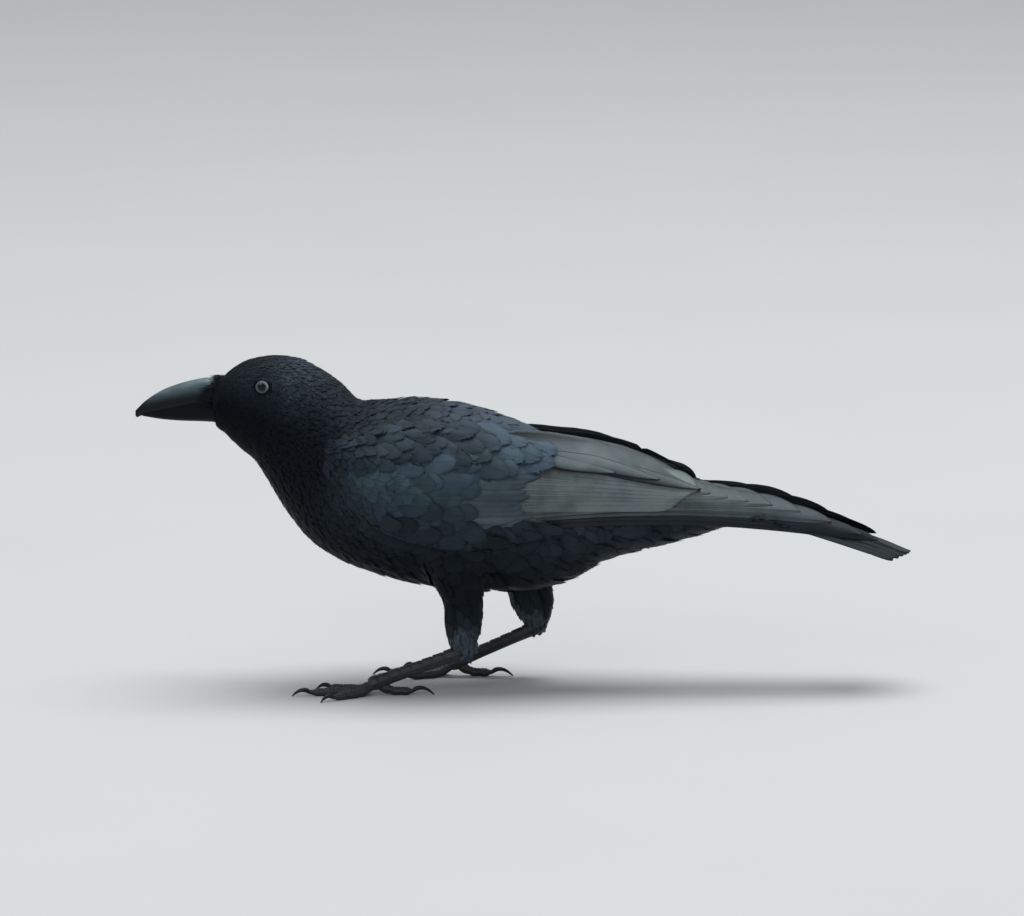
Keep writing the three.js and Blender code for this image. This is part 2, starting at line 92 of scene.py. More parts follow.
FLESH = ["head", "neck", "trunk", "thigh_left", "thigh_right"]
ORBITS = ["eye_left", "eye_right"]  # they fill their sockets in the surfaces
SHOULDERS = ["wing_left_coverts", "wing_right_coverts"]
QUILLS = [f"wing_{side}_{part}" for side in SIDES for part in ("secondaries", "primaries")]
TAIL = ["tail_left", "tail_middle", "tail_right"]

# ---------------------------------------------------------------- mesh tools


def unit(v):
    """Rows of v, each made one long."""
    return v / np.maximum(np.linalg.norm(v, axis=-1, keepdims=True), 1e-12)


def dot(a, b):
    return (a * b).sum(-1, keepdims=True)


def across_normal(way, normals):
    """Directions laid flat on the surface that has these normals."""
    return unit(way - dot(way, normals) * normals)


def smoothstep(x, low, high):
    t = np.clip((x - low) / (high - low), 0, 1)
    return t * t * (3 - 2 * t)


def bump_at(x, place, width):
    """A bell curve, 1 at place."""
    return np.exp(-(((x - place) / width) ** 2))


def node_solid(names, grow=0.0):
    """CAD nodes as one bmesh with merged corners, each node grown outward by grow."""
    solid = bmesh.new()
    for name in names:
        part = bmesh.new()
        part.from_mesh(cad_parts[name].data)
        bmesh.ops.remove_doubles(part, verts=part.verts, dist=0.02 * MM)
        bmesh.ops.recalc_face_normals(part, faces=part.faces)
        part.normal_update()
        moves = [v.normal * grow for v in part.verts]
        for v, move in zip(part.verts, moves):
            v.co += move
        mesh = bpy.data.meshes.new("part")
        part.to_mesh(mesh)
        part.free()
        solid.from_mesh(mesh)
        bpy.data.meshes.remove(mesh)
    return solid


def node_tree(names, grow=0.0):
    """CAD nodes as a tree that finds nearest points and hits."""
    solid = node_solid(names, grow)
    tree = BVHTree.FromBMesh(solid)
    solid.free()
    return tree


def node_distance(names, points):
    """Distance from each point to the nearest face of the nodes."""
    tree = node_tree(names)
    return np.array([tree.find_nearest(p)[3] for p in points.tolist()])


def modified(names, grow, modifier, **settings):
    """CAD nodes as one mesh with a modifier applied: its corners and its quads."""
    mesh = bpy.data.meshes.new("solid")
    solid = node_solid(names, grow)
    solid.to_mesh(mesh)
    solid.free()
    holder = bpy.data.objects.new("solid", mesh)
    bpy.context.scene.collection.objects.link(holder)
    step = holder.modifiers.new("step", modifier)
    for key, value in settings.items():
        setattr(step, key, value)
    graph = bpy.context.evaluated_depsgraph_get()
    result = bpy.data.meshes.new_from_object(holder.evaluated_get(graph))
    points = np.empty(len(result.vertices) * 3)
    result.vertices.foreach_get("co", points)
    quads = np.array([tuple(p.vertices) for p in result.polygons if len(p.vertices) == 4])
    bpy.data.objects.remove(holder)
    bpy.data.meshes.remove(mesh)
    bpy.data.meshes.remove(result)
    return points.reshape(-1, 3), quads


def remeshed(names, voxel, rounds, grow):
    """CAD nodes fused into one even mesh and smoothed: its corners and its quads."""
    points, quads = modified(names, grow, "REMESH", mode="VOXEL", voxel_size=voxel)
    return relaxed(points, quads, rounds), quads


def relaxed(points, quads, rounds, strength=0.5, back=-0.52):
    """Taubin smoothing, which takes off facets and keeps the volume."""
    pairs = np.concatenate([quads[:, [a, b]] for a, b in ((0, 1), (1, 2), (2, 3), (3, 0))])
    count = np.bincount(pairs.ravel(), minlength=len(points))[:, None]
    for i in range(2 * rounds):
        total = np.zeros_like(points)
        for k in range(3):
            for here, there in (pairs.T, pairs.T[::-1]):
                total[:, k] += np.bincount(here, points[there, k], len(points))
        mean = total / np.maximum(count, 1)
        points = points + (back if i % 2 else strength) * (mean - points)
    return points


def corner_normals(points, quads):
    """Outward normals of a quad mesh at its corners."""
    face = np.cross(points[quads[:, 2]] - points[quads[:, 0]],
                    points[quads[:, 3]] - points[quads[:, 1]])
    total = np.zeros_like(points)
    for k in range(4):
        for axis in range(3):
            total[:, axis] += np.bincount(quads[:, k], face[:, axis], len(points))
    return unit(total)


def grid_quads(corner):
    """Quads between the rows and columns of a grid of corner numbers."""
    quads = np.stack([corner[:-1, :-1], corner[1:, :-1], corner[1:, 1:], corner[:-1, 1:]], -1)
    return quads.reshape(-1, 4)


def tube_quads(corner):
    """Quads of a tube through rings of corner numbers."""
    after = np.roll(corner, -1, 1)
    return np.stack([corner[:-1], after[:-1], after[1:], corner[1:]], -1).reshape(-1, 4)


def outward(points, *faces):
    """Faces of one closed shape, turned to face out if they face in."""
    volume = 0.0
    for group in faces:
        a = points[group[:, 0]]
        for k in range(1, group.shape[1] - 1):
            volume += (a * np.cross(points[group[:, k]], points[group[:, k + 1]])).sum()
    return [group if volume > 0 else group[:, ::-1] for group in faces]


def lofted(rings):
    """A tube through rings of points, with its ends closed: its corners, quads and triangles."""
    count, sides = rings.shape[:2]
    corner = np.arange(count * sides).reshape(count, sides)
    points = np.concatenate([rings.reshape(-1, 3), [rings[0].mean(0), rings[-1].mean(0)]])
    first, last = count * sides, count * sides + 1
    after = np.roll(corner, -1, 1)
    caps = np.concatenate([
        np.stack([corner[0], np.full(sides, first), after[0]], -1),
        np.stack([corner[-1], after[-1], np.full(sides, last)], -1),
    ])
    return points, *outward(points, tube_quads(corner), caps)


def mesh_piece(name, points, faces, material, replaces=(), maps=None, values=None):
    """A new piece that rides on the body. faces is a list of arrays of corner numbers, one for
    each count of corners. maps are UV maps and values are named colours, one row a corner."""
    mesh = bpy.data.meshes.new(name)
    mesh.vertices.add(len(points))
    mesh.vertices.foreach_set("co", np.asarray(points, np.float32).ravel())
    sizes = np.concatenate([np.full(len(f), f.shape[1]) for f in faces])
    corners = np.concatenate([f.ravel() for f in faces]).astype(np.int32)
    mesh.loops.add(len(corners))
    mesh.loops.foreach_set("vertex_index", corners)
    mesh.polygons.add(len(sizes))
    starts = np.concatenate([[0], np.cumsum(sizes)[:-1]]).astype(np.int32)
    mesh.polygons.foreach_set("loop_start", starts)
    mesh.update(calc_edges=True)
    mesh.polygons.foreach_set("use_smooth", np.ones(len(sizes), bool))
    for key, uv in (maps or {}).items():
        layer = mesh.uv_layers.new(name=key)
        layer.data.foreach_set("uv", uv[corners].astype(np.float32).ravel())
    for key, colour in (values or {}).items():
        attribute = mesh.attributes.new(key, "FLOAT_COLOR", "POINT")
        attribute.data.foreach_set("color", colour.astype(np.float32).ravel())
    mesh.materials.append(material)
    piece = bpy.data.objects.new(name, mesh)
    bpy.context.scene.collection.objects.link(piece)
    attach(piece, "root")
    if replaces:
        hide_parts(*replaces)


def grey(shade):
    """One value for each corner, as a colour attribute."""
    return np.repeat(np.ravel(shade)[:, None], 4, 1)


class Surface:
    """A closed surface that feathers follow: nearest points on it, with smooth normals."""

    def __init__(self, points, quads):
        self.points = points
        self.quads = quads
        self.centres = points[quads].mean(1)
        self.normals = corner_normals(points, quads)
        self.face_normals = unit(self.normals[quads].mean(1))
        self.tree = BVHTree.FromPolygons(points.tolist(), quads.tolist())

    def nearest(self, points):
        flat = points.reshape(-1, 3)
        at = np.empty_like(flat)
        face = np.empty(len(flat), np.int32)
        for i, p in enumerate(flat.tolist()):
            at[i], _, face[i], _ = self.tree.find_nearest(p)
        return at.reshape(points.shape), self.face_normals[face].reshape(points.shape)


# ---------------------------------------------------------------- materials


class Look:
    """A material being made: its shader, and short ways to add nodes before it."""

    def __init__(self, name):
        self.material = bpy.data.materials.new(name)
        self.material.use_nodes = True
        self.tree = self.material.node_tree
        self.shader = self.tree.nodes["Principled BSDF"]

    def node(self, kind):
        return self.tree.nodes.new("ShaderNode" + kind)

    def feed(self, value, socket):
        """Gives a socket a number, a colour or another socket's value."""
        if hasattr(value, "is_linked"):
            self.tree.links.new(value, socket)
        elif isinstance(value, tuple) and socket.type == "RGBA":
            socket.default_value = (*value, 1)
        else:
            socket.default_value = value

    def maths(self, operation, *inputs, clamp=False):
        node = self.node("Math")
        node.operation = operation
        node.use_clamp = clamp
        for value, socket in zip(inputs, node.inputs):
            self.feed(value, socket)
        return node.outputs[0]

    def scaled(self, value, factor, plus=0.0, clamp=False):
        return self.maths("MULTIPLY_ADD", value, factor, plus, clamp=clamp)

    def mixed(self, factor, a, b, blend="MIX"):
        """A colour mixed from two."""
        node = self.node("Mix")
        node.data_type = "RGBA"
        node.blend_type = blend
        for value, number in ((factor, 0), (a, 6), (b, 7)):
            self.feed(value, node.inputs[number])
        return node.outputs[2]

    def noise(self, scale, detail=3, stretch=None):
        """Noise in the piece's own metres, with about scale blots to a metre."""
        place = self.node("TexCoord").outputs["Object"]
        if stretch:
            mapping = self.node("Mapping")
            self.feed(stretch, mapping.inputs["Scale"])
            self.feed(place, mapping.inputs["Vector"])
            place = mapping.outputs[0]
        texture = self.node("TexNoise")
        for value, key in ((scale, "Scale"), (detail, "Detail"), (place, "Vector")):
            self.feed(value, texture.inputs[key])
        return texture.outputs["Fac"]

    def stored(self, name):
        """A colour attribute of the mesh, as its first value and as all three."""
        attribute = self.node("Attribute")
        attribute.attribute_name = name
        split = self.node("SeparateColor")
        self.feed(attribute.outputs["Color"], split.inputs[0])
        return attribute.outputs["Fac"], split.outputs

    def bumped(self, height, distance, strength=1.0):
        bump = self.node("Bump")
        for value, key in ((height, "Height"), (distance, "Distance"), (strength, "Strength")):
            self.feed(value, bump.inputs[key])
        self.feed(bump.outputs[0], self.shader.inputs["Normal"])

    def finished(self, colour, roughness, gloss=0.5, tint=None):
        """The material, its shader fed. gloss and tint are those of the specular reflection."""
        self.feed(colour, self.shader.inputs["Base Color"])
        self.feed(roughness, self.shader.inputs["Roughness"])
        self.feed(gloss, self.shader.inputs["Specular IOR Level"])
        if tint:
            self.feed(tint, self.shader.inputs["Specular Tint"])
        return self.material


BLACK = (0.0022, 0.0028, 0.0045)  # darkest plumage, a navy black
MANTLE_SHEEN = (0.056, 0.079, 0.085)  # the colour of the painted sheen where it is brightest: on the body,
COVERTS_SHEEN = (0.060, 0.096, 0.114)  # on the folded wing,
WING_BARS_SHEEN = (0.086, 0.122, 0.130)  # on the greater coverts,
QUILL_SHEEN = (0.152, 0.184, 0.162)  # and on the vanes of the quills
VIOLET = (0.96, 0.89, 1.10)  # how the painted sheen's colour turns here and there
SHEEN_BLUE = (0.40, 0.55, 0.75)
GLOSS_BLUE = (0.70, 0.85, 1.0)
BARB_PITCH = 0.42  # mm between the lines that barbs draw on a vane
BARB_SLANT = 1.3


def feather_material(name, sheen_colour, roughness, sheen, gloss):
    """Vanes read their own maps: UV vane is (across, along) in centimetres, and the colour
    feather holds tone (how much painted sheen the vane shows; low where shade is painted),
    place along the vane and place across it."""
    look = Look(name)
    tone, along, across = look.stored("feather")[1]
    uv = look.node("UVMap")
    uv.uv_map = "vane"
    axes = look.node("SeparateXYZ")
    look.feed(uv.outputs[0], axes.inputs[0])
    aside = look.maths("ABSOLUTE", axes.outputs[0])
    slant = look.scaled(aside, -BARB_SLANT, axes.outputs[1])
    turns = look.maths("MULTIPLY", slant, 2 * math.pi * 10 / BARB_PITCH)
    barbs = look.maths("SINE", turns)
    fine = look.noise(900, 2)
    # The painted sheen is mottled, and fainter at each vane's rim, at its tip and along its
    # shaft.
    rib = look.scaled(aside, -16.0, 1.0, clamp=True)
    dull = look.scaled(look.maths("POWER", across, 4.0), -0.38, 1.0)
    dull = look.scaled(look.maths("POWER", along, 14.0), -0.22, dull)
    dull = look.scaled(rib, -0.25, dull)
    mottle = look.scaled(look.noise(70, 4), 1.3, 0.35)
    streaks = look.scaled(barbs, 0.10, 1.0)
    shade = look.maths("MULTIPLY", look.maths("MULTIPLY", tone, mottle), dull)
    shade = look.maths("MULTIPLY", shade, streaks, clamp=True)
    violet = tuple(a * b for a, b in zip(sheen_colour, VIOLET))
    turn = look.scaled(look.noise(34, 2), 3.0, -1.0, clamp=True)
    colour = look.mixed(shade, BLACK, look.mixed(turn, sheen_colour, violet))
    look.feed(sheen, look.shader.inputs["Sheen Weight"])
    look.feed(0.5, look.shader.inputs["Sheen Roughness"])
    look.feed(SHEEN_BLUE, look.shader.inputs["Sheen Tint"])
    height = look.scaled(fine, 1.2, look.scaled(rib, 1.6, barbs))
    look.bumped(height, 0.035 * MM, 0.5)
    rough = look.scaled(fine, 0.16, roughness - 0.08)
    return look.finished(colour, rough, gloss, GLOSS_BLUE)


def skin_material():
    """Dark down and skin between the feathers, darkened further to near black as painted deep
    shade.
    """
    look = Look("down")
    colour = look.mixed(look.noise(60), (0.002, 0.0024, 0.0032), (0.006, 0.0075, 0.010))
    look.bumped(look.noise(1200, 4), 0.4 * MM, 0.8)
    return look.finished(colour, 0.9, 0.08)


def horn_material(name, dark, light, roughness, gloss):
    """Bill and claw horn: fine lengthwise fibres and scuffs. It is paler where the mesh says:
    along the bill's ridge as a painted highlight, and all over the claws as wear.
    """
    look = Look(name)
    fibres = look.noise(260, 4, (0.25, 1, 1))
    scuffs = look.noise(1400, 3, (0.3, 1, 1))
    uneven = look.scaled(fibres, 0.9, 0.1)
    uneven = look.scaled(look.noise(90), 0.9, uneven)
    shade = look.maths("MULTIPLY", uneven, look.stored("wear_and_highlight")[0], clamp=True)
    look.bumped(look.scaled(scuffs, 0.5, fibres), 0.12 * MM, 0.5)
    rough = look.scaled(scuffs, 0.3, roughness - 0.15)
    return look.finished(look.mixed(shade, dark, light), rough, gloss, (0.7, 0.88, 1.0))


def scale_material():
    """The bare skin of legs and toes: horny black scutes, paler towards each one's end and darker
    at the joints between them.
    """
    look = Look("leg_scales")
    grain = look.noise(2600)
    shade = look.scaled(look.noise(160, 4), 0.5, -0.25)
    shade = look.maths("ADD", shade, look.stored("wear_and_highlight")[0], clamp=True)
    colour = look.mixed(shade, (0.008, 0.009, 0.010), (0.05, 0.056, 0.058))
    look.bumped(grain, 0.1 * MM, 0.6)
    return look.finished(colour, look.scaled(grain, 0.25, 0.36))


def lid_material():
    look = Look("eyelid")
    grain = look.noise(2200)
    colour = look.mixed(grain, (0.0015, 0.0017, 0.002), (0.007, 0.008, 0.010))
    look.bumped(grain, 0.12 * MM, 0.8)
    return look.finished(colour, 0.65, 0.12)


def floor_material():
    look = Look("floor")
    colour = look.mixed(look.noise(3, 5), (0.50, 0.50, 0.49), (0.53, 0.53, 0.52))
    return look.finished(colour, 0.75)


# ---------------------------------------------------------------- surfaces

VOXEL = 1.6 * MM
SMOOTHING = 22  # rounds that take off the solids' facets
HEAD_ROUNDING = 12
OVERLAP = 0.35 * MM  # closes the gaps between the solids
SLICES = 28


def middle_line():
    """The body's middle line as (x, height) from slices, and half its height."""
    trunk = remeshed(["head", "neck", "trunk"], 3 * MM, 2, OVERLAP)[0]
    xs = np.linspace(FACE_X + 4 * MM, TRUNK_END - 2 * MM, SLICES)
    slices = [trunk[np.abs(trunk[:, 0] - x) < 4 * MM][:, 2] for x in xs]
    middle = np.array([(s.max() + s.min()) / 2 for s in slices])
    half = np.array([(s.max() - s.min()) / 2 for s in slices])
    return xs, averaged(middle, [1, 2, 3, 2, 1], mode="edge"), half


def averaged(line, weights, **padding):
    """A line of numbers, smoothed by weights that run to both sides of each."""
    kernel = np.array(weights) / sum(weights)
    return np.convolve(np.pad(line, len(weights) // 2, **padding), kernel, "valid")


LINE_X, LINE_Z, LINE_HALF = middle_line()
LINE_SLOPE = np.gradient(LINE_Z, LINE_X)


def height_share(points):
    """-1 at the belly line, 0 at the middle of the body and 1 at the back line."""
    z = np.interp(points[..., 0], LINE_X, LINE_Z)
    half = np.interp(points[..., 0], LINE_X, LINE_HALF)
    return (points[..., 2] - z) / half


def body_place(points):
    """0 at the feather edge on the bill and 1 at the tips of the tail coverts."""
    return (points[..., 0] - FACE_X) / (TRUNK_END - FACE_X)


# How far the lie of the coat is drawn in at places on the body, so that the feathers' tips end on
# the outline: pairs of a place and mm.
BACK_ROOM = np.array([
    (0.0, 3.4), (0.035, 2.8), (0.06, 1.1), (0.09, 0.8), (0.15, 0.3), (0.22, 0.3), (0.255, 1.2),
    (0.28, 4.2), (0.31, 2.2), (0.42, 2.2), (0.53, 1.8), (0.61, 3.0), (0.65, 4.2), (0.74, 2.0),
    (1.0, 1.0),
]).T
BELLY_ROOM = np.array([
    (0.0, -3.0), (0.012, -2.4), (0.03, -0.6), (0.045, -1.4), (0.065, -1.2), (0.085, 0.8),
    (0.12, 0.1), (0.22, 0.1), (0.26, 0.6), (0.30, 1.2), (0.42, 1.9), (0.62, 1.9), (0.70, 3.0),
    (0.73, 4.0), (0.77, 3.0), (0.83, 0.8), (1.0, 2.0),
]).T


def room_for_coat(points):
    """How far down from the back, and how far up from the belly, the coat's lie is drawn in."""
    place = body_place(points)
    share = height_share(points)
    above = smoothstep(share, 0.2, 0.85) * np.interp(place, *BACK_ROOM)
    below = smoothstep(-share, 0.2, 0.85) * np.interp(place, *BELLY_ROOM)
    return above * MM, below * MM


def outer_face(names):
    """The outer face of the coat over some nodes, with the head and neck well rounded."""
    points, quads = remeshed(names, VOXEL, SMOOTHING, OVERLAP)
    rounded = relaxed(points, quads, HEAD_ROUNDING, back=0.5)
    on_head = 1 - smoothstep(points[:, :1], HEAD_END, NECK_END)
    points = points + on_head * (rounded - points)
    above, below = room_for_coat(points)
    on_body = smoothstep(height_share(points), -1.35, -1.05)  # 0 on the thighs
    points[:, 2] += (below - above) * on_body
    return Surface(points, quads)


whole = outer_face(FLESH + ORBITS + SHOULDERS + QUILLS)  # with the folded wings on it
body = outer_face(FLESH + ORBITS + SHOULDERS)
flesh = outer_face(FLESH + ORBITS)
rear_face = outer_face(FLESH + ORBITS + TAIL)  # the tail coverts run on over the tail

BILL_ROOT = np.array([FACE_X - 8 * MM, 0, (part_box("bill_upper")[0].z + HEAD_TOP) / 2 - 8 * MM])
EYE_SINK = 1.1 * MM  # how far an eyeball sits in from its solid
LID_IN = 4.3 * MM
LID_OUT = 6.4 * MM
THIGH_FADE = 16 * MM
FROM_BILL = (18 * MM, 62 * MM)  # where feathers stop pointing away from the root of the bill
BELLY_DROOP = -0.15  # how far down they turn on the belly
LEG_WAY = np.array([0.25, 0, -1.0])  # the way they point on the legs


def down_thighs(points):
    """For each thigh: how far up it points are, from 0 at the hock to 1 where it joins the body,
    whether they are on its side of the bird, and its box."""
    for low, high in THIGHS.values():
        up = (points[..., 2] - low.z) / (0.6 * (high.z - low.z))
        yield up, points[..., 1] * (low.y + high.y) > 0, low, high


def thigh_share(points):
    """1 on the free part of a thigh, fading out where it joins the body."""
    share = np.zeros(points.shape[:-1])
    for _, same_side, low, high in down_thighs(points):
        top = low.z + 0.62 * (high.z - low.z)
        beside = (points[..., 0] > low.x - 4 * MM) & (points[..., 0] < high.x + 4 * MM)
        fade = 1 - smoothstep(points[..., 2], top - THIGH_FADE, top)
        share = np.maximum(share, fade * beside * same_side)
    return share


def hangs_free(points):
    """1 low on a thigh, where the trousers hang over the hock."""
    share = np.zeros(points.shape[:-1])
    for up, same_side, *_ in down_thighs(points):
        share = np.maximum(share, (1 - smoothstep(up, 0.1, 0.9)) * same_side)
    return share


def beside_eye(points):
    """The way from the nearer eye to each point, across the eye's axis, and how far it is."""
    across = points - np.array(EYES["left"])
    across[..., 1] = 0
    return unit(across), np.linalg.norm(across, axis=-1, keepdims=True)


def lay(points, normals):
    """The way feathers point at places on the body, along the surface."""
    way = np.zeros(points.shape)
    way[..., 0] = 1
    way[..., 2] = np.interp(points[..., 0], LINE_X, LINE_SLOPE)
    way = unit(way)
    from_bill = points - BILL_ROOT
    near = 1 - smoothstep(np.linalg.norm(from_bill, axis=-1), *FROM_BILL)
    way = way + 1.6 * near[..., None] * unit(from_bill)
    below = np.clip(-height_share(points), 0, 1)[..., None]
    way = way + below * np.array([0, 0, BELLY_DROOP])
    leg = thigh_share(points)[..., None]
    way = way * (1 - leg) + leg * LEG_WAY
    way = across_normal(way, normals)
    from_eye, gap = beside_eye(points)
    into = np.clip(-dot(way, from_eye), 0, 1)
    return unit(way + into * (1 - smoothstep(gap, LID_OUT, LID_OUT + 5 * MM)) * from_eye)


# ---------------------------------------------------------------- contour feathers

DRAWS = 7  # places tried for each one kept


def scattered(surface, spacing_at, rng, keep):
    """Places on a surface about spacing_at(points) apart, where keep(points) is true."""
    corners = surface.points[surface.quads]
    area = 0.5 * np.linalg.norm(
        np.cross(corners[:, 2] - corners[:, 0], corners[:, 3] - corners[:, 1]), axis=1
    )
    gap = spacing_at(surface.centres)
    weight = np.where(keep(surface.centres), area / gap**2, 0)
    faces = rng.choice(len(area), int(weight.sum() * DRAWS), p=weight / weight.sum())
    a, b = rng.random((2, len(faces), 1))
    quad = corners[faces]
    spots = (quad[:, 0] * (1 - a) + quad[:, 1] * a) * (1 - b) \
        + (quad[:, 3] * (1 - a) + quad[:, 2] * a) * b
    gaps = gap[faces]
    cells = np.floor(spots / gaps.max()).astype(int)
    taken = {}
    chosen = []
    around = [(i, j, k) for i in (-1, 0, 1) for j in (-1, 0, 1) for k in (-1, 0, 1)]
    for i, (spot, key) in enumerate(zip(spots.tolist(), cells.tolist())):
        reach = gaps[i] ** 2
        near = (taken.get((key[0] + dx, key[1] + dy, key[2] + dz), ()) for dx, dy, dz in around)
        if all(
            (spot[0] - p[0]) ** 2 + (spot[1] - p[1]) ** 2 + (spot[2] - p[2]) ** 2 > reach
            for group in near for p in group
        ):
            taken.setdefault(tuple(key), []).append(spot)
            chosen.append(i)
    return spots[chosen]


# Half width of a vane along it, as a share of the widest: with a round tip, and with a point.
OUTLINE = [0.30, 0.70, 0.92, 1.0, 0.94, 0.72]
OUTLINE_POINTED = [0.28, 0.66, 0.84, 0.80, 0.60, 0.28]
RISE = 1.5  # how a feather comes up out of the coat
CAMBER = 0.17  # how far its middle stands above its edges, as a share of its half width
SWEEP = (0.08, 0.17)  # how far its edges lie back, and how much more at its tip, by its length
ROLL = 0.05  # how far it turns about its shaft, by chance
UNEVEN = 0.03  # how much its width varies along it, by chance
FAN = 0.05  # how far the lobes at its tip spread, as a share of its width
FAN_SCATTER = 0.012  # and how far each is off its place, by chance
LOBES = (0.045, 0.08)  # how long they are, and how much more on a pointed one, by its length
EDGE_BARBS = (0.04, 0.14)  # how far barbs part from its edges, as shares of its half width
LEAVING = 1.5  # how fast it leaves the surface where it is free
PATCH = 0.003  # side of each feather's patch on the unwrap


def feather_walk(surface, roots, turn, length, last, flow, free):
    """Middles of feathers along a surface from their roots, with the normals and ways there."""
    at, up = surface.nearest(roots)
    way = flow(at, up)
    way = unit(way + turn * np.cross(up, way))
    stops = [(at, up, way)]
    for step in range(last):
        ahead = at + way * (length / last)[:, None]
        loose = free[:, None] * min(LEAVING * (step + 1) / last, 1)
        near, near_up = surface.nearest(ahead)
        at = near + loose * (ahead - near)
        up = unit(near_up * (1 - loose) + up * loose)
        onward = unit(0.6 * way + 0.4 * unit(flow(at, up) + turn * np.cross(up, way)))
        way = unit(across_normal(onward, up) * (1 - loose) + way * loose)
        stops.append((at, up, way))
    return (np.stack(a, 1) for a in zip(*stops))


def contour_feathers(surface, roots, rng, length, width, depth, lift, tone, pointed, flow, splay,
                     detail, free):
    """Thin vanes from roots on a surface. Each starts depth under it and comes up to it at its
    tip, over the feathers behind, and its barbs part at the tip. Sizes are one for each root.
    detail is the count of quads along a vane and across it, and free is how far a tip may go
    straight on where the surface curves away, from 0 to 1."""
    count = len(roots)
    last, across = detail
    turn = rng.normal(0, splay, (count, 1))
    free = np.broadcast_to(free, count)
    centres, ups, ways = feather_walk(surface, roots, turn, length, last, flow, free)
    asides = np.cross(ups, ways)
    steps = np.linspace(0, 1, last + 1)
    places = np.linspace(0, 1, len(OUTLINE))
    outline = np.interp(steps, places, OUTLINE) * (1 - pointed) \
        + np.interp(steps, places, OUTLINE_POINTED) * pointed
    half = width[:, None] / 2 * outline * (1 + rng.normal(0, UNEVEN, (count, last + 1)))
    columns = np.linspace(-1, 1, across + 1)
    sweep = -length[:, None, None] * (SWEEP[0] + SWEEP[1] * steps**3)[:, None] * (columns**2)
    flat = (
        centres[:, :, None]
        + asides[:, :, None] * (half[:, :, None] * columns)[..., None]
        + ways[:, :, None] * sweep[..., None]
    )
    grounded, normal = surface.nearest(flat)
    loose = free[:, None, None, None] * np.minimum(LEAVING * steps, 1)[:, None, None]
    grounded = grounded + loose * (flat - grounded)
    normal = unit(normal * (1 - loose) + ups[:, :, None] * loose)
    rise = -depth[:, None] * (1 - steps) ** RISE + lift[:, None] * steps**2
    roll = rng.normal(0, ROLL, (count, 1, 1)) * columns
    rise = rise[:, :, None] + half[:, :, None] * (CAMBER * (1 - columns**2) + roll)
    grid = grounded + normal * rise[..., None]
    # Barbs that part: one pointed lobe to each column at the tip, and some along both edges.
    tips = (grid[:, -1, :-1] + grid[:, -1, 1:]) / 2
    middles = (columns[:-1] + columns[1:]) / 2
    reach = length[:, None] * (LOBES[0] + LOBES[1] * pointed)
    reach = reach * rng.uniform(0.4, 1.1, (count, across))
    fan = (FAN * middles + rng.normal(0, FAN_SCATTER, (count, across))) * width[:, None]
    tips = tips + ways[:, -1:] * reach[..., None] + asides[:, -1:] * fan[..., None]
    curl = 0.5 * lift[:, None, None] * rng.uniform(-1, 1, (count, across, 1))
    tips = tips + ups[:, -1:] * curl
    corner = np.arange((last + 1) * (across + 1)).reshape(last + 1, across + 1)
    lobes = corner.size + np.arange(across)
    triangles = [np.stack([corner[-1, 1:], corner[-1, :-1], lobes], -1)]
    rows = np.arange(last // 2, last)
    barbs = []
    for side, column in ((-1, 0), (1, across)):
        middle = (grid[:, rows, column] + grid[:, rows + 1, column]) / 2
        out = half[:, rows] * rng.uniform(*EDGE_BARBS, (count, len(rows))) * side
        back = length[:, None] / last * rng.uniform(0.5, 1.0, (count, len(rows)))
        barbs.append(middle + asides[:, rows] * out[..., None] + ways[:, rows] * back[..., None])
        ends = corner.size + across + len(rows) * (side > 0) + np.arange(len(rows))
        pair = (corner[rows, column], corner[rows + 1, column])
        triangles.append(np.stack([*pair[::side], ends], -1))
    points = np.concatenate([grid.reshape(count, -1, 3), tips, *barbs], 1)
    t = np.concatenate([np.repeat(steps, across + 1), np.full(across, 1.0), *2 * [rows / last]])
    w = np.concatenate([np.tile(columns, last + 1), middles, 0 * rows - 1, 0 * rows + 1])
    own = rng.random((count, 1))
    shade = tone[:, None] * (0.72 + 0.56 * own) * (0.70 + 0.30 * t)
    vane = np.stack([w * width[:, None], t * length[:, None]], -1) / CM
    vane = vane * np.array([0.5, 1.0]) + rng.random((count, 1, 1)) * np.array([0, 1.0])
    return repeated(points, grid_quads(corner), np.concatenate(triangles), roots, vane, shade,
                    t, w)


def repeated(points, quads, triangles, roots, vane, shade, t, w, patch=PATCH):
    """Like feathers as one group. points has a row for each feather, and quads and triangles
    are those of the first. Each has a patch, as tall as patch, at its root on the unwrap."""
    offset = (np.arange(len(points)) * points.shape[1])[:, None, None]
    patch = np.stack([w * PATCH / 2, (t - 0.5) * patch], -1)
    return coat_group(points, (quads[None] + offset).reshape(-1, 4),
                      (triangles[None] + offset).reshape(-1, 3),
                      round_body(roots)[:, None] + patch[None], vane, shade, t, w)


def coat_group(points, quads, triangles, place, vane, shade, t, w):
    """Feathers as one group: their faces, their two UV maps and what colours them."""
    feather = np.stack(np.broadcast_arrays(shade, t, np.abs(w), 1.0), -1)
    return {
        "points": points.reshape(-1, 3),
        "quads": quads,
        "triangles": triangles,
        "maps": {"OFBake": place.reshape(-1, 2), "vane": vane.reshape(-1, 2)},
        "values": {"feather": feather.reshape(-1, 4)},
    }


def round_body(points):
    """Unwraps places on the body: along it, and round its middle line."""
    x = points[:, 0]
    along = (x - LINE_X[0]) / (LINE_X[-1] - LINE_X[0])
    z = np.interp(x, LINE_X, LINE_Z)
    turn = np.arctan2(points[:, 1], points[:, 2] - z) / (2 * math.pi) + 0.5
    return np.stack([0.02 + 0.96 * np.clip(along, 0, 1), 0.02 + 0.96 * turn], -1)


def coat_piece(name, group, material, replaces=()):
    mesh_piece(name, group["points"], [group["quads"], group["triangles"]], material,
               replaces, group["maps"], group["values"])


# ---------------------------------------------------------------- lengths, depths and tones

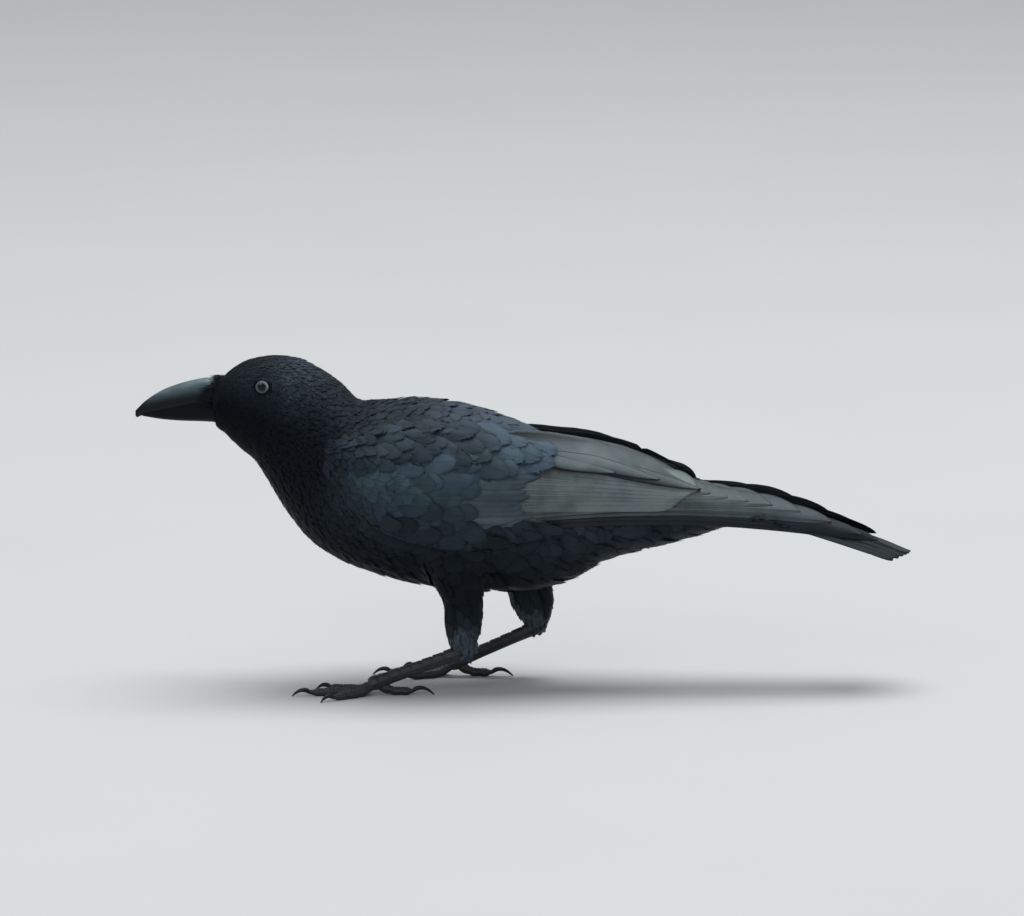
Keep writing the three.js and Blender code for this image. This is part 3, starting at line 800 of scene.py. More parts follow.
# Lengths and depths of contour feathers in mm: along the back line, the sides, the belly line.
PLACES = [0.0, 0.05, 0.11, 0.19, 0.27, 0.38, 0.52, 0.66, 0.80, 0.92, 1.0]
LENGTHS = [
    [4.0, 5.5, 7.0, 9.5, 15, 22, 28, 30, 34, 44, 44],
    [3.6, 5.0, 6.5, 9.0, 15, 22, 27, 30, 34, 40, 42],
    [3.6, 7.0, 12, 16, 20, 26, 31, 33, 36, 44, 44],
]
COAT_DEPTH = [1.0, 1.4, 1.9, 2.6, 3.8, 5.2, 6.0, 6.4, 5.6, 4.4, 3.4]
# How pale the plumage is painted along the same three lines: painted sheen, palest along the
# back and the cape, and painted shade, darkest on the face and the belly.
TONE_PLACES = [0.0, 0.05, 0.11, 0.19, 0.265, 0.30, 0.38, 0.52, 0.66, 0.80, 0.92, 1.0]
SHEEN_AND_SHADE_TONES = [
    [0.16, 0.36, 0.64, 0.24, 0.16, 0.34, 0.44, 1.75, 1.50, 0.70, 0.44, 0.42],
    [0.01, 0.01, 0.01, 0.03, 0.05, 0.28, 0.36, 0.36, 0.34, 0.34, 0.34, 0.30],
    [0.0, 0.0, 0.0, 0.0, 0.0, 0.01, 0.01, 0.02, 0.04, 0.08, 0.18, 0.24],
]
CAPE_SLANT = 0.61  # the front edge of the cape's painted sheen leans back as it rises
LEG_COAT_DEPTH = 2.2  # mm
THIN_SHARE = 0.3  # of the body's thickness, as deep as the coat may be


def by_height(points, lines, slant=0.0, places=PLACES):
    """A value blended from three that run along the back, the sides and the belly."""
    lean = slant * (HEAD_TOP - 28 * MM - points[..., 2]) / (TRUNK_END - FACE_X)
    place = body_place(points) + lean
    share = height_share(points)
    back, side, belly = (np.interp(place, places, line) for line in lines)
    up = smoothstep(share, 0.05, 0.8)
    down = smoothstep(-share, 0.05, 0.8)
    return side + up * (back - side) + down * (belly - side)


def feather_length(points):
    length = by_height(points, LENGTHS)
    by_eye = 1 - smoothstep(beside_eye(points)[1][..., 0], LID_OUT, LID_OUT + 7 * MM)
    length = length * (1 - 0.5 * by_eye)
    leg = thigh_share(points)
    for up, same_side, *_ in down_thighs(points):
        here = leg * same_side
        length = length * (1 - here) + (15 + 2 * np.clip(up, 0, 1)) * here
    return length * MM


def coat_depth(points):
    depth = np.interp(body_place(points), PLACES, COAT_DEPTH)
    leg = thigh_share(points)
    return (depth * (1 - leg) + LEG_COAT_DEPTH * leg) * MM


def sheen_and_shade_tone(points):
    tone = by_height(points, SHEEN_AND_SHADE_TONES, CAPE_SLANT, TONE_PLACES)
    leg = thigh_share(points)
    # On the thighs, painted shade darkens the feathers up where they join the body.
    return tone * (1 - leg) + (0.45 + 1.15 * hangs_free(points)) * leg


def skin_points():
    """The body's surface drawn in by the depth of the coat, or by less where the body is thin,
    as at the edge of a wing."""
    depth = coat_depth(body.points)
    for i, (point, normal) in enumerate(zip(body.points.tolist(), (-body.normals).tolist())):
        way = Vector(normal)
        far = body.tree.ray_cast(Vector(point) + way * 0.5 * MM, way, 0.03)[3]
        if far is not None:
            depth[i] = min(depth[i], THIN_SHARE * far)
    depth = relaxed(np.repeat(depth[:, None], 3, 1), body.quads, 8, back=0.5)[:, :1]
    return relaxed(body.points - body.normals * depth, body.quads, 4)


def build_skin():
    mesh_piece("skin", skin_points(), [body.quads], skin_material(),
               replaces=FLESH + SHOULDERS)


# ---------------------------------------------------------------- tracts of contour feathers

NEAR_NODE = 1.2 * MM  # a place on a fused surface this close to a node belongs to it
BROAD_PLACES = [0, 0.1, 0.25, 0.5, 1]
BROAD = [0.40, 0.45, 0.58, 0.62, 0.50]  # widths of feathers there, as shares of their lengths
LENGTH_RANGE = (0.86, 1.14)  # of the feathers in one place


def clear_of_eyes(points, margin=0.0):
    """Whether points are outside the lids by a margin."""
    on_side = np.abs(points[..., 1]) > 8 * MM
    return ~on_side | (beside_eye(points)[1][..., 0] > LID_OUT - 0.9 * MM + margin)


def on_nodes(surface, names):
    """Which faces of a fused surface belong to the named nodes."""
    return node_distance(names, surface.centres) < NEAR_NODE


def tract(name, surface, keep, spacing, seed, material, ratio=1.0, pointed=0.1, flow=lay,
          rise=1.0, tone=sheen_and_shade_tone, length_of=feather_length, lift=0.035, splay=0.07,
          detail=(6, 24), over=0.0, free=None):
    """One tract of contour feathers as a piece. spacing is a share of the feathers' length."""
    rng = np.random.default_rng(seed)
    roots = scattered(surface, lambda p: spacing * length_of(p), rng, keep)
    length = length_of(roots) * rng.uniform(*LENGTH_RANGE, len(roots))
    broad = np.interp(body_place(roots), BROAD_PLACES, BROAD)
    depth = coat_depth(roots) * rise
    up = rng.uniform(0.2, 1.0, len(roots)) * lift * length + over
    coat_piece(name, contour_feathers(
        surface, roots, rng, length, length * broad * ratio, depth, up, tone(roots), pointed,
        flow, splay, detail, free(roots) if free else 0.0,
    ), material)


def body_coat(material):
    """Contour feathers over head, neck, trunk and thighs, in pieces by region. Ahead of the
    quills they run over the folded wings, and further back they pass under them."""
    off_wings = ~(on_nodes(whole, QUILLS) | on_nodes(whole, SHOULDERS))
    quill_gap = node_distance(QUILLS, rear_face.centres)
    split = COVERTS_END + 8 * MM

    def front(inside):
        return lambda p: inside(p) & off_wings & (p[:, 0] < split) & clear_of_eyes(p)

    def rear(inside):
        return lambda p: inside(p) & (quill_gap > 1.0 * MM) & (p[:, 0] >= split) \
            & (p[:, 0] < TRUNK_END - 7 * MM) & (thigh_share(p) < 0.05)

    def above(p):
        return height_share(p) >= 0

    def behind_neck(p):
        return (p[:, 0] >= NECK_END) & (thigh_share(p) < 0.05)

    def past_end(roots):
        """The upper tail coverts bridge the step down to the tail."""
        return 0.4 * smoothstep(roots[:, 0], TRUNK_END - 50 * MM, TRUNK_END - 30 * MM)

    tract("coat_head", whole, front(lambda p: p[:, 0] < HEAD_END), 0.20, 101, material,
          ratio=0.9, pointed=0.5, lift=0.03, detail=(3, 4))
    tract("coat_neck", whole, front(lambda p: (p[:, 0] >= HEAD_END) & (p[:, 0] < NECK_END)),
          0.17, 102, material, pointed=0.45, detail=(5, 8))
    tract("coat_breast", whole, front(lambda p: behind_neck(p) & ~above(p)), 0.19, 103, material)
    tract("coat_back", whole, front(lambda p: behind_neck(p) & above(p)), 0.24, 104, material)
    tract("coat_belly", rear_face, rear(lambda p: ~above(p)), 0.18, 105, material, lift=0.05,
          splay=0.12)
    tract("coat_rump", rear_face, rear(above), 0.18, 106, material, free=past_end)
    hanging = flesh.face_normals[:, 2] > -0.6
    tract("coat_thighs", flesh, lambda p: (thigh_share(p) >= 0.05) & hanging, 0.15, 107,
          material, lift=0.06, splay=0.10, detail=(5, 10), free=hangs_free, ratio=0.8,
          pointed=0.35)


# The lower edge of the scapulars over the folded wing: places from the bend of the wing, 0, to
# the end of its coverts, 1, and shares of the way up the wing.
SCAPULAR_EDGE = np.array([
    (0.0, 0.55), (0.3, 0.80), (0.57, 0.80), (0.80, 0.77), (1.06, 0.84), (1.25, 0.94),
]).T
SCAPULAR_DROOP = -0.20
FLANK_SWEEP = 0.22


def wing_place(x):
    return (x - WING_BEND) / (COVERTS_END - WING_BEND)


def sloping(rise):
    """The lay of the body's feathers, turned up by rise or down where it is below 0."""
    return lambda points, normals: across_normal(
        lay(points, normals) + np.array([0, 0, rise]), normals)


def wing_coat(body_material, material, reliefs):
    """Lesser and median coverts on each wing, scapulars over its upper part, and flank feathers
    over its lower edge."""
    on_coverts = on_nodes(whole, SHOULDERS)
    on_wings = on_coverts | on_nodes(whole, QUILLS)
    to_wing = node_distance(SHOULDERS, whole.centres)

    def share_up(p):
        low, high = reliefs["left"].edges_at(p[:, 0])
        return (p[:, 2] - low) / (high - low)

    def above_edge(p, margin):
        return share_up(p) > np.interp(wing_place(p[:, 0]), *SCAPULAR_EDGE) + margin

    def lesser(p):
        ahead = (wing_place(p[:, 0]) < 0.42) | (share_up(p) < 0.16)
        return on_coverts & ahead & ~above_edge(p, 0.1)

    def median(p):
        place = wing_place(p[:, 0])
        return on_coverts & (place >= 0.36) & (place < 0.66) & (share_up(p) > 0.12) \
            & ~above_edge(p, 0.1)

    def scapular(p):
        place = wing_place(p[:, 0])
        return (on_wings | (to_wing < 9 * MM)) & above_edge(p, 0.06) & (place > 0.0) \
            & (place < 1.0)

    def flank(p):
        place = wing_place(p[:, 0])
        return (to_wing < 12 * MM) & (share_up(p) < 0.03) & (place > 0.15) & (place < 1.25)

    def lengths(*values):
        return lambda p: np.interp(wing_place(p[:, 0]), [0, 0.4, 1.0], values) * MM

    def coverts_tone(p):
        # Painted sheen and shade: darker low on the wing and at its bend, paler higher up.
        tone = np.interp(share_up(p), [-0.1, 0.1, 0.5, 1.0], [0.07, 0.20, 0.54, 0.66])
        along = np.interp(wing_place(p[:, 0]), [0, 0.2, 0.35, 0.6], [0.25, 1.3, 1.2, 1.0])
        return tone * along

    def scapular_tone(p):
        tone = np.interp(wing_place(p[:, 0]), [0, 0.2, 0.42, 0.64, 0.87],
                         [0.14, 0.34, 0.28, 0.34, 0.88])
        # Painted highlight: paler towards the top of the back.
        return tone * (1 + 0.7 * smoothstep(height_share(p), 0.72, 0.95))

    tract("lesser_coverts", whole, lesser, 0.22, 111, material, rise=0.3, lift=0.045,
          length_of=lengths(10, 17, 22), tone=coverts_tone, ratio=1.15, detail=(4, 14))
    tract("median_coverts", whole, median, 0.24, 112, material, rise=0.3, lift=0.05,
          length_of=lengths(22, 27, 31), tone=coverts_tone, ratio=1.05)
    tract("scapulars", whole, scapular, 0.2, 113, material, rise=0.25, lift=0.06,
          length_of=lengths(12, 28, 39), tone=scapular_tone, flow=sloping(SCAPULAR_DROOP),
          ratio=0.95, detail=(7, 28), over=0.8 * MM)
    tract("flank_feathers", whole, flank, 0.2, 114, body_material, rise=0.4, lift=0.06,
          length_of=lengths(20, 28, 30), flow=sloping(FLANK_SWEEP), splay=0.12)


BARB_SPACING = 0.04
STRAND_ROWS = 3
STRAND_LENGTHS = (0.3, 0.6)  # as shares of the length of the feathers there
STRAND_STANDS = (0.02, 0.10)  # how far their tips stand off, as shares of their own length
STRAND_WIDTHS = (0.06, 0.12)  # mm, on each side of the middle


def loose_barbs(material):
    """Fine loose barbs that soften the coat, ahead of the end of the wings' coverts and then
    below the quills."""
    rng = np.random.default_rng(120)
    off_wings = ~(on_nodes(whole, QUILLS) | on_nodes(whole, SHOULDERS))
    below_quills = node_distance(QUILLS, flesh.centres) > 3 * MM
    for name, surface, clear, low, high in (
        ("loose_barbs_front", whole, off_wings, FACE_X - LENGTH, COVERTS_END),
        ("loose_barbs_rear", flesh, below_quills, COVERTS_END, TAIL_TIP),
    ):
        def inside(p):
            return clear & (p[:, 0] >= low) & (p[:, 0] < high) & clear_of_eyes(p, 1.5 * MM)

        roots = scattered(surface, lambda p: BARB_SPACING * feather_length(p) ** 0.8, rng,
                          inside)
        coat_piece(name, strands(surface, roots, rng), material)


def strands(surface, roots, rng):
    """Narrow tapered ribbons that lie along the coat and stand a little off it at their tips."""
    count = len(roots)
    at, up = surface.nearest(roots)
    length = feather_length(roots) * rng.uniform(*STRAND_LENGTHS, count)
    turn = rng.normal(0, 0.22, (count, 1))
    way = lay(at, up)
    way = unit(way + turn * np.cross(up, way))
    half = rng.uniform(*STRAND_WIDTHS, count) * MM
    stand = rng.uniform(*STRAND_STANDS, count) * length
    rows = []
    for i in range(STRAND_ROWS + 1):
        t = i / STRAND_ROWS
        aside = np.cross(up, way) * (half * (1 - 0.6 * t))[:, None]
        middle = at + up * (stand * t**1.5 - 0.3 * MM * (1 - t))[:, None]
        rows += [middle] if i == STRAND_ROWS else [middle - aside, middle + aside]
        at, up = surface.nearest(at + way * (length / STRAND_ROWS)[:, None])
        way = across_normal(way, up)
    shade = sheen_and_shade_tone(roots)[:, None] * (0.8 + 0.5 * rng.random((count, 1)))
    return ribbons(rows, roots, half, shade)


def ribbons(rows, roots, half, shade):
    """Ribbons through rows of points, two to a row and one at the tip, as one group."""
    points = np.stack(rows, 1)
    size = points.shape[1]
    last = size // 2
    quads = np.array([[k + 1, k, k + 2, k + 3] for k in range(0, 2 * last - 2, 2)])
    tip = np.array([[size - 2, size - 3, size - 1]])
    t = np.append(np.repeat(np.arange(last), 2), last) / last
    w = np.append(np.tile([-1, 1], last), 0)
    vane = np.stack(np.broadcast_arrays(w * (half / CM)[:, None], t), -1)
    return repeated(points, quads, tip, roots, vane, shade, t, w, PATCH / 2)


# ---------------------------------------------------------------- faces that quills lie on

FAR_STEP = 7 * MM  # how far the far wing drops behind its tertials


def over_back(x):
    """1 where the wings lie against the back, fading out behind it."""
    return 1 - smoothstep(x, COVERTS_END + 40 * MM, COVERTS_END + 65 * MM)


class Relief:
    """The outer face of a folded wing or the tail, as smoothed heights over a flat grid. Its own
    axes are a, back along X; b, across; and out, away from the body."""

    STEP = 1.5 * MM
    MARGIN = 12 * MM
    FAR = 0.4  # outside the bird
    ROUNDS = 10

    def __init__(self, names, b_axis, out_axis, sign):
        self.b_axis, self.out_axis, self.sign = b_axis, out_axis, sign
        self.on_wing = b_axis == 2
        self.natural = (sign < 0) == self.on_wing  # whether a, b and out are right-handed
        boxes = [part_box(name) for name in names]
        self.a, self.b = (
            np.arange(min(box[0][k] for box in boxes) - self.MARGIN,
                      max(box[1][k] for box in boxes) + self.MARGIN, self.STEP)
            for k in (0, b_axis)
        )
        tree = node_tree(names, OVERLAP)
        heights = np.full((len(self.a), len(self.b)), np.nan)
        inward = Vector((0, 0, 0))
        inward[out_axis] = -sign
        for i, a in enumerate(self.a):
            for j, b in enumerate(self.b):
                start = Vector((a, 0, 0))
                start[b_axis] = b
                start[out_axis] = sign * self.FAR
                hit = tree.ray_cast(start, inward)[0]
                if hit is not None:
                    heights[i, j] = hit[out_axis] * sign
        self.edges(heights)
        self.heights = self.filled(heights)

    def edges(self, heights):
        """Keeps the lower and upper edge of the face along it."""
        rows = [np.flatnonzero(~np.isnan(h)) for h in heights]
        kept = [i for i, r in enumerate(rows) if len(r) > 1]
        self.edge_a = self.a[kept]
        ends = np.array([[self.b[rows[i][0]], self.b[rows[i][-1]]] for i in kept])
        self.low, self.high = (averaged(e, [1] * 7, mode="edge") for e in ends.T)
        if self.on_wing:
            place = (self.edge_a - FACE_X) / (TRUNK_END - FACE_X)
            self.high -= np.interp(place, *BACK_ROOM) * MM * over_back(self.edge_a)
        if self.on_wing and self.sign > 0:
            past = self.edge_a - TERTIALS_END
            self.high -= FAR_STEP * smoothstep(past, -8 * MM, 4 * MM) \
                * (1 - smoothstep(past, 22 * MM, 58 * MM))

    def filled(self, heights):
        """Carries the face on past its edges, and smooths it."""
        index = np.arange(heights.shape[1])
        for row in heights:
            good = ~np.isnan(row)
            if good.sum() > 1:
                row[:] = np.interp(index, index[good], row[good])
        good = np.flatnonzero(~np.isnan(heights).any(1))
        for j in range(heights.shape[1]):
            heights[:, j] = np.interp(np.arange(len(heights)), good, heights[good, j])
        for _ in range(self.ROUNDS):
            for axis in (0, 1):
                padded = np.moveaxis(np.pad(heights, 1, mode="edge"), axis, 0)
                mean = (padded[:-2] + 2 * padded[1:-1] + padded[2:])[:, 1:-1] / 4
                heights = np.moveaxis(mean, 0, axis)
        return heights

    def height(self, a, b):
        i = np.clip((a - self.a[0]) / self.STEP, 0, len(self.a) - 1.001)
        j = np.clip((b - self.b[0]) / self.STEP, 0, len(self.b) - 1.001)
        i0, j0 = i.astype(int), j.astype(int)
        u, v = i - i0, j - j0
        h = self.heights
        return (h[i0, j0] * (1 - u) + h[i0 + 1, j0] * u) * (1 - v) \
            + (h[i0, j0 + 1] * (1 - u) + h[i0 + 1, j0 + 1] * u) * v

    def edges_at(self, a):
        """The lower and the upper edge at places along the face."""
        return np.interp(a, self.edge_a, self.low), np.interp(a, self.edge_a, self.high)

    def across(self, a, share):
        """The place b at a share of the way from the lower to the upper edge."""
        low, high = self.edges_at(a)
        return low + share * (high - low)

    def place(self, a, b, out):
        """Points at (a, b) on the face, moved out along its normal."""
        e = 2 * MM
        slope_a = (self.height(a + e, b) - self.height(a - e, b)) / (2 * e)
        slope_b = (self.height(a, b + e) - self.height(a, b - e)) / (2 * e)
        size = np.sqrt(1 + slope_a**2 + slope_b**2)
        points = np.zeros(a.shape + (3,))
        points[..., 0] = a - slope_a / size * out
        points[..., self.b_axis] = b - slope_b / size * out
        points[..., self.out_axis] = self.sign * (self.height(a, b) + out / size)
        return points


# ---------------------------------------------------------------- quills

QUILL_ROWS = 44  # quads along a quill feather
QUILL_COLUMNS = 10  # quads across it, half of them on each side of the shaft
VANE_THICK = 0.22 * MM
QUILL_CAMBER = 0.9 * MM  # on a vane at least FULL_WIDTH wide on one side
FULL_WIDTH = 9 * MM
ROW_CROWDING = 1.35  # rows of quads are closer together towards the tip
COLUMN_CROWDING = 0.8  # and columns towards the edges
RAGGED = 0.004  # how uneven the edges are, as a share of the width
SPLITS = (0.05, 0.16)  # how deep a split in an edge is, as a share of it
BARB_SLOPE = (0.35, 0.5)  # how far barbs lie back, along the vane and at its tip, by the width
BARB_RETURN = 0.3  # how much of the width they come forward again
COAT_SHARE = 0.7  # how much of the coat's room a vane gives up too
EDGE_THINNING = 0.75
SHAFT_TONE = 0.75
SHAFT_SIDES = 6
SHAFT_FINENESS = [1.0, 0.5, 0.12]  # at the root, at 0.7 of the way and at the tip
NO_TRIANGLES = np.zeros((0, 3), int)


class Quill(SimpleNamespace):
    """A long feather on a relief, with its sizes in mm. root, bend and tip are each a place a and
    a share of the way across the relief. low and high are the widths on the two sides of the
    shaft, level is the height of the vane over the face, tip_length is the share of the vane that
    its tip takes up, point is 0 for a round tip and 1 for a pointed one, tilt lifts one edge over
    the other, and shaft is the radius at the root."""

    sink = 0.0  # how far the root goes under
    edge = 0.25  # how much paler the lower edge is, a painted highlight; below 0, how much darker, painted shade
    # how much darker the root is, as painted shade where it comes out from under other feathers
    root_painted_shade = 0.0

    def outline(self, t):
        """Half width along the vane, 1 at its widest, with a narrow root and parallel edges."""
        s = np.clip((t - (1 - self.tip_length)) / self.tip_length, 0, 1)
        rounded = np.sqrt(np.clip(1 - s**2.2, 0, 1))
        pointed = np.clip(1 - s**1.5, 0, 1)
        tip = rounded * (1 - self.point) + pointed * self.point
        return smoothstep(t, -0.05, 0.22) * tip

    def tones(self, columns, t, own):
        """Tone over the vane: own is the feather's own. The lower edge is paler where edge is
        above 0, a painted highlight, and darker where it is below, painted shade; the root is
        darker, painted shade.
        """
        shade = self.tone * own * (1 + self.edge * np.where(columns < 0, columns, 0) ** 4)
        fade = 1 - self.root_painted_shade * (1 - smoothstep(t, 0.2, 0.62))
        return shade * ((0.8 + 0.2 * t) * fade)[:, None]


def quill_feathers(relief, quills, rng, tone):
    """Long feathers on a relief, as one group. The vanes are closed and thin, with a shaft."""
    parts = []
    t = 1 - (1 - np.linspace(0, 1, QUILL_ROWS + 1)) ** ROW_CROWDING
    columns = np.linspace(-1, 1, QUILL_COLUMNS + 1)
    columns = np.sign(columns) * np.abs(columns) ** COLUMN_CROWDING
    corner = np.arange(len(t) * len(columns)).reshape(len(t), -1)
    for number, quill in enumerate(quills):
        keys = np.array([quill.root, quill.bend, quill.tip])
        keys = np.stack([keys[:, 0], relief.across(keys[:, 0], keys[:, 1])], -1)
        a, b = ((1 - t) ** 2 * k[0] + 2 * t * (1 - t) * k[1] + t**2 * k[2] for k in keys.T)
        length = np.hypot(*(keys[2] - keys[0]))
        way = unit(np.stack([np.gradient(a), np.gradient(b)], -1))
        aside = np.stack([-way[:, 1], way[:, 0]], -1)
        width = np.where(columns < 0, quill.low * MM, quill.high * MM)
        edge = 1 + rng.normal(0, RAGGED, (QUILL_ROWS + 1, 2))
        for split in rng.integers(8, QUILL_ROWS - 3, rng.integers(0, 3)):
            edge[split, rng.integers(0, 2)] -= rng.uniform(*SPLITS)
        ragged = np.where(columns < 0, edge[:, :1], edge[:, 1:])
        ragged = 1 + (ragged - 1) * np.abs(columns) ** 4
        off = columns * width * quill.outline(t)[:, None] * ragged
        at_tip = smoothstep(t, 0.9, 1)[:, None]
        along_vane, over_tip = BARB_SLOPE
        back = -along_vane * np.abs(off) * (1 - at_tip) - over_tip * np.abs(off) * at_tip
        back = back + BARB_RETURN * np.abs(off)
        at_a = a[:, None] + aside[:, :1] * off + way[:, :1] * back
        at_b = b[:, None] + aside[:, 1:] * off + way[:, 1:] * back
        camber = QUILL_CAMBER * (1 - columns**2) * smoothstep(t, 0, 0.2)[:, None]
        camber = camber * min(1.0, max(quill.low, quill.high) * MM / FULL_WIDTH)
        sink = quill.sink * MM * (1 - smoothstep(t, 0.0, 0.35))[:, None]
        out = quill.level * MM + camber - quill.tilt * MM * columns - sink
        if relief.on_wing:
            place = relief.place(at_a, at_b, np.zeros(off.shape))
            out = out - COAT_SHARE * room_for_coat(place)[0] * over_back(at_a)
        thin = VANE_THICK * (1 - EDGE_THINNING * np.abs(columns) ** 3)
        centimetres = np.stack(np.broadcast_arrays(off, t[:, None] * length), -1) / CM
        shade = tone * quill.tones(columns, t, 0.9 + 0.2 * rng.random())
        for sheet, level in enumerate((out, out - thin)):
            strip = 2 * number + sheet + 0.5 + 0.42 * columns
            quads = grid_quads(corner)
            if (sheet == 0) != relief.natural:
                quads = quads[:, ::-1]
            if sheet:
                quads = np.concatenate([quads, rim_quads(corner, relief.natural)])
            parts.append(coat_group(
                relief.place(at_a, at_b, level), quads, NO_TRIANGLES,
                strip_map(t, strip, len(quills)), centimetres, shade, t[:, None], columns,
            ))
        spine = out[:, QUILL_COLUMNS // 2]
        strip = 2 * number + 0.5 + 0.04 * np.sin(shaft_turn())
        middle = np.array([0.02, 0]) * np.ones((len(t), SHAFT_SIDES, 1))
        parts.append(coat_group(
            *shaft_shape(relief, quill.shaft * MM, t, a, b, way, spine), NO_TRIANGLES,
            strip_map(t, strip, len(quills)), middle, tone * quill.tone * SHAFT_TONE, t[:, None],
            np.zeros(SHAFT_SIDES),
        ))
    return joined(parts)


def strip_map(t, strip, count):
    """A sheet's place on the unwrap: along, and across in strips, two to each of count quills."""
    return np.stack(np.broadcast_arrays(0.01 + 0.98 * t[:, None], strip / (2 * count)), -1)


def rim_quads(corner, natural):
    """Quads that join the edge of an under sheet to that of the top sheet just before it."""
    loop = np.concatenate([corner[:, 0], corner[-1, 1:], corner[-2::-1, -1], corner[0, -2:0:-1]])
    after = np.roll(loop, -1)
    quads = np.stack([loop, after, after - corner.size, loop - corner.size], -1)
    return quads if natural else quads[:, ::-1]


def shaft_turn():
    return np.linspace(0, 2 * math.pi, SHAFT_SIDES, endpoint=False)


def shaft_shape(relief, root_radius, t, a, b, way, spine):
    """The shaft of a feather: half sunk in its vane, and finer towards the tip."""
    turn = shaft_turn()
    radius = np.interp(t, [0, 0.7, 1], SHAFT_FINENESS) * root_radius
    side = radius[:, None] * np.cos(turn) * 0.8
    lift = spine[:, None] + radius[:, None] * np.sin(turn) * 0.6
    points = relief.place(a[:, None] - way[:, 1:] * side, b[:, None] + way[:, :1] * side, lift)
    corner = np.arange(len(t) * SHAFT_SIDES).reshape(len(t), SHAFT_SIDES)
    after = np.roll(corner, -1, 1)
    quads = np.stack([corner[:-1], corner[1:], after[1:], after[:-1]], -1).reshape(-1, 4)
    caps = np.array([corner[0, [0, 1, 2, 3]], corner[0, [3, 4, 5, 0]],
                     corner[-1, [3, 2, 1, 0]], corner[-1, [0, 5, 4, 3]]])
    quads = np.concatenate([quads, caps])
    return points, quads[:, ::-1] if relief.natural else quads


def joined(groups):
    """Several groups of feathers as one."""
    starts = np.cumsum([0] + [len(g["points"]) for g in groups[:-1]])
    result = {"points": np.concatenate([g["points"] for g in groups])}
    for key in ("quads", "triangles"):
        result[key] = np.concatenate([g[key] + s for g, s in zip(groups, starts)])
    for kind in ("maps", "values"):
        result[kind] = {
            key: np.concatenate([g[kind][key] for g in groups]) for key in groups[0][kind]
        }
    return result


# ---------------------------------------------------------------- wings

# Primaries from the inner to the outer: where each tip is, as a share of the way from the tips of
# the tertials to the wing's tip, and how far up the wing it lies.
PRIMARY_TIPS = [(0.03, 0.78), (0.13, 0.70), (0.25, 0.66), (0.39, 0.64), (0.55, 0.62),
                (0.73, 0.60), (0.91, 0.56), (1.0, 0.46), (0.90, 0.28), (0.50, 0.12)]
HIGHLIGHT_EDGED = (4, 5)  # primaries whose lower edge carries a strong painted highlight, a pale line
SECONDARIES = 8
# Tertials from the longest: reach as a share of the way to the wing's end, the tip's place up the
# wing, the bend's, and the half width in mm with its share above the shaft.
TERTIALS = [(0.985, 0.80, 0.92, 9.0, 1.1), (0.80, 0.70, 1.00, 8.5, 1.1),
            (0.60, 0.68, 0.93, 8.0, 0.9)]
TERTIAL_ROOTS = {"left": (0.92, 0.11), "right": (0.80, 0.13)}  # place up the wing, and arch
GREATER_COVERTS = 10
PRIMARY_COVERTS = 7
ALULA = 3


def shares(count):
    """Each place in a row, with how far along it is from 0 to 1."""
    return [(k, k / (count - 1)) for k in range(count)]


def primaries(side):
    """The inner ones lie lower on the far wing, behind the near one."""
    quills = []
    for (k, outer), (reach, share) in zip(shares(len(PRIMARY_TIPS)), PRIMARY_TIPS):
        if side == "right":
            share = share + 0.06 * (k < 6) - 0.26 * max(0, 1 - k / 4)
        tip = TERTIALS_END + reach * (WING_TIP - 1 * MM - TERTIALS_END)
        root = COVERTS_END - 30 * MM
        sag = 0.30 - 0.22 * outer + 0.3 * (share - 0.1) * (1 - outer)
        quills.append(Quill(
            root=(root, 0.34 - 0.24 * outer), bend=(root + 0.55 * (tip - root), sag),
            tip=(tip, share), low=2.6 + 0.5 * (1 - outer), high=9.5 - 1.5 * outer,
            level=-0.9 - 2.0 * outer, tip_length=0.13, point=0.25 + 0.3 * outer, tilt=0.25,
            # Painted shade darkens the outer primaries, low on the wing, and the lower edges
            # carry a painted highlight.
            shaft=0.6, tone=1.15 - 1.03 * smoothstep(outer, 0.48, 0.70),
            edge=2.2 if k in HIGHLIGHT_EDGED else 0.6,
        ))
    return quills[::-1]


def secondaries(side, rng):
    quills = []
    for _, inner in shares(SECONDARIES):
        root = COVERTS_END - 18 * MM
        tip = TERTIALS_END + (-20 + 15 * inner) * MM
        quills.append(Quill(
            root=(root, 0.40 + 0.40 * inner),
            bend=((root + tip) / 2 + 10 * MM, 0.26 + 0.42 * inner),
            tip=(tip, 0.16 + 0.60 * inner), low=4.2, high=9.0, level=-0.7 + 0.8 * inner,
            tip_length=0.12, point=0.0, tilt=0.25, shaft=0.4, tone=1.25 + 0.2 * rng.random(),
            # Painted shade darkens the root where it comes out from under the coverts.
            sink=1.0, root_painted_shade=0.45,
        ))
    start, arch = TERTIAL_ROOTS[side]
    for k, (reach, share, bend, wide, above) in enumerate(TERTIALS):
        root = COVERTS_END - 12 * MM
        tip = root + reach * (TERTIALS_END - 1 * MM - root)
        quills.append(Quill(
            root=(root, start), bend=((root + tip) / 2, bend + arch), tip=(tip, share),
            low=wide, high=wide * above, level=0.2 + 0.55 * k, tip_length=0.38, point=0.55,
            # Painted shade: a dark line along the lower edge, and a darker root.
            tilt=1.7, shaft=0.5, tone=0.60 + 0.1 * rng.random(), sink=3.2, edge=-0.95,
            root_painted_shade=0.45,
        ))
    return quills


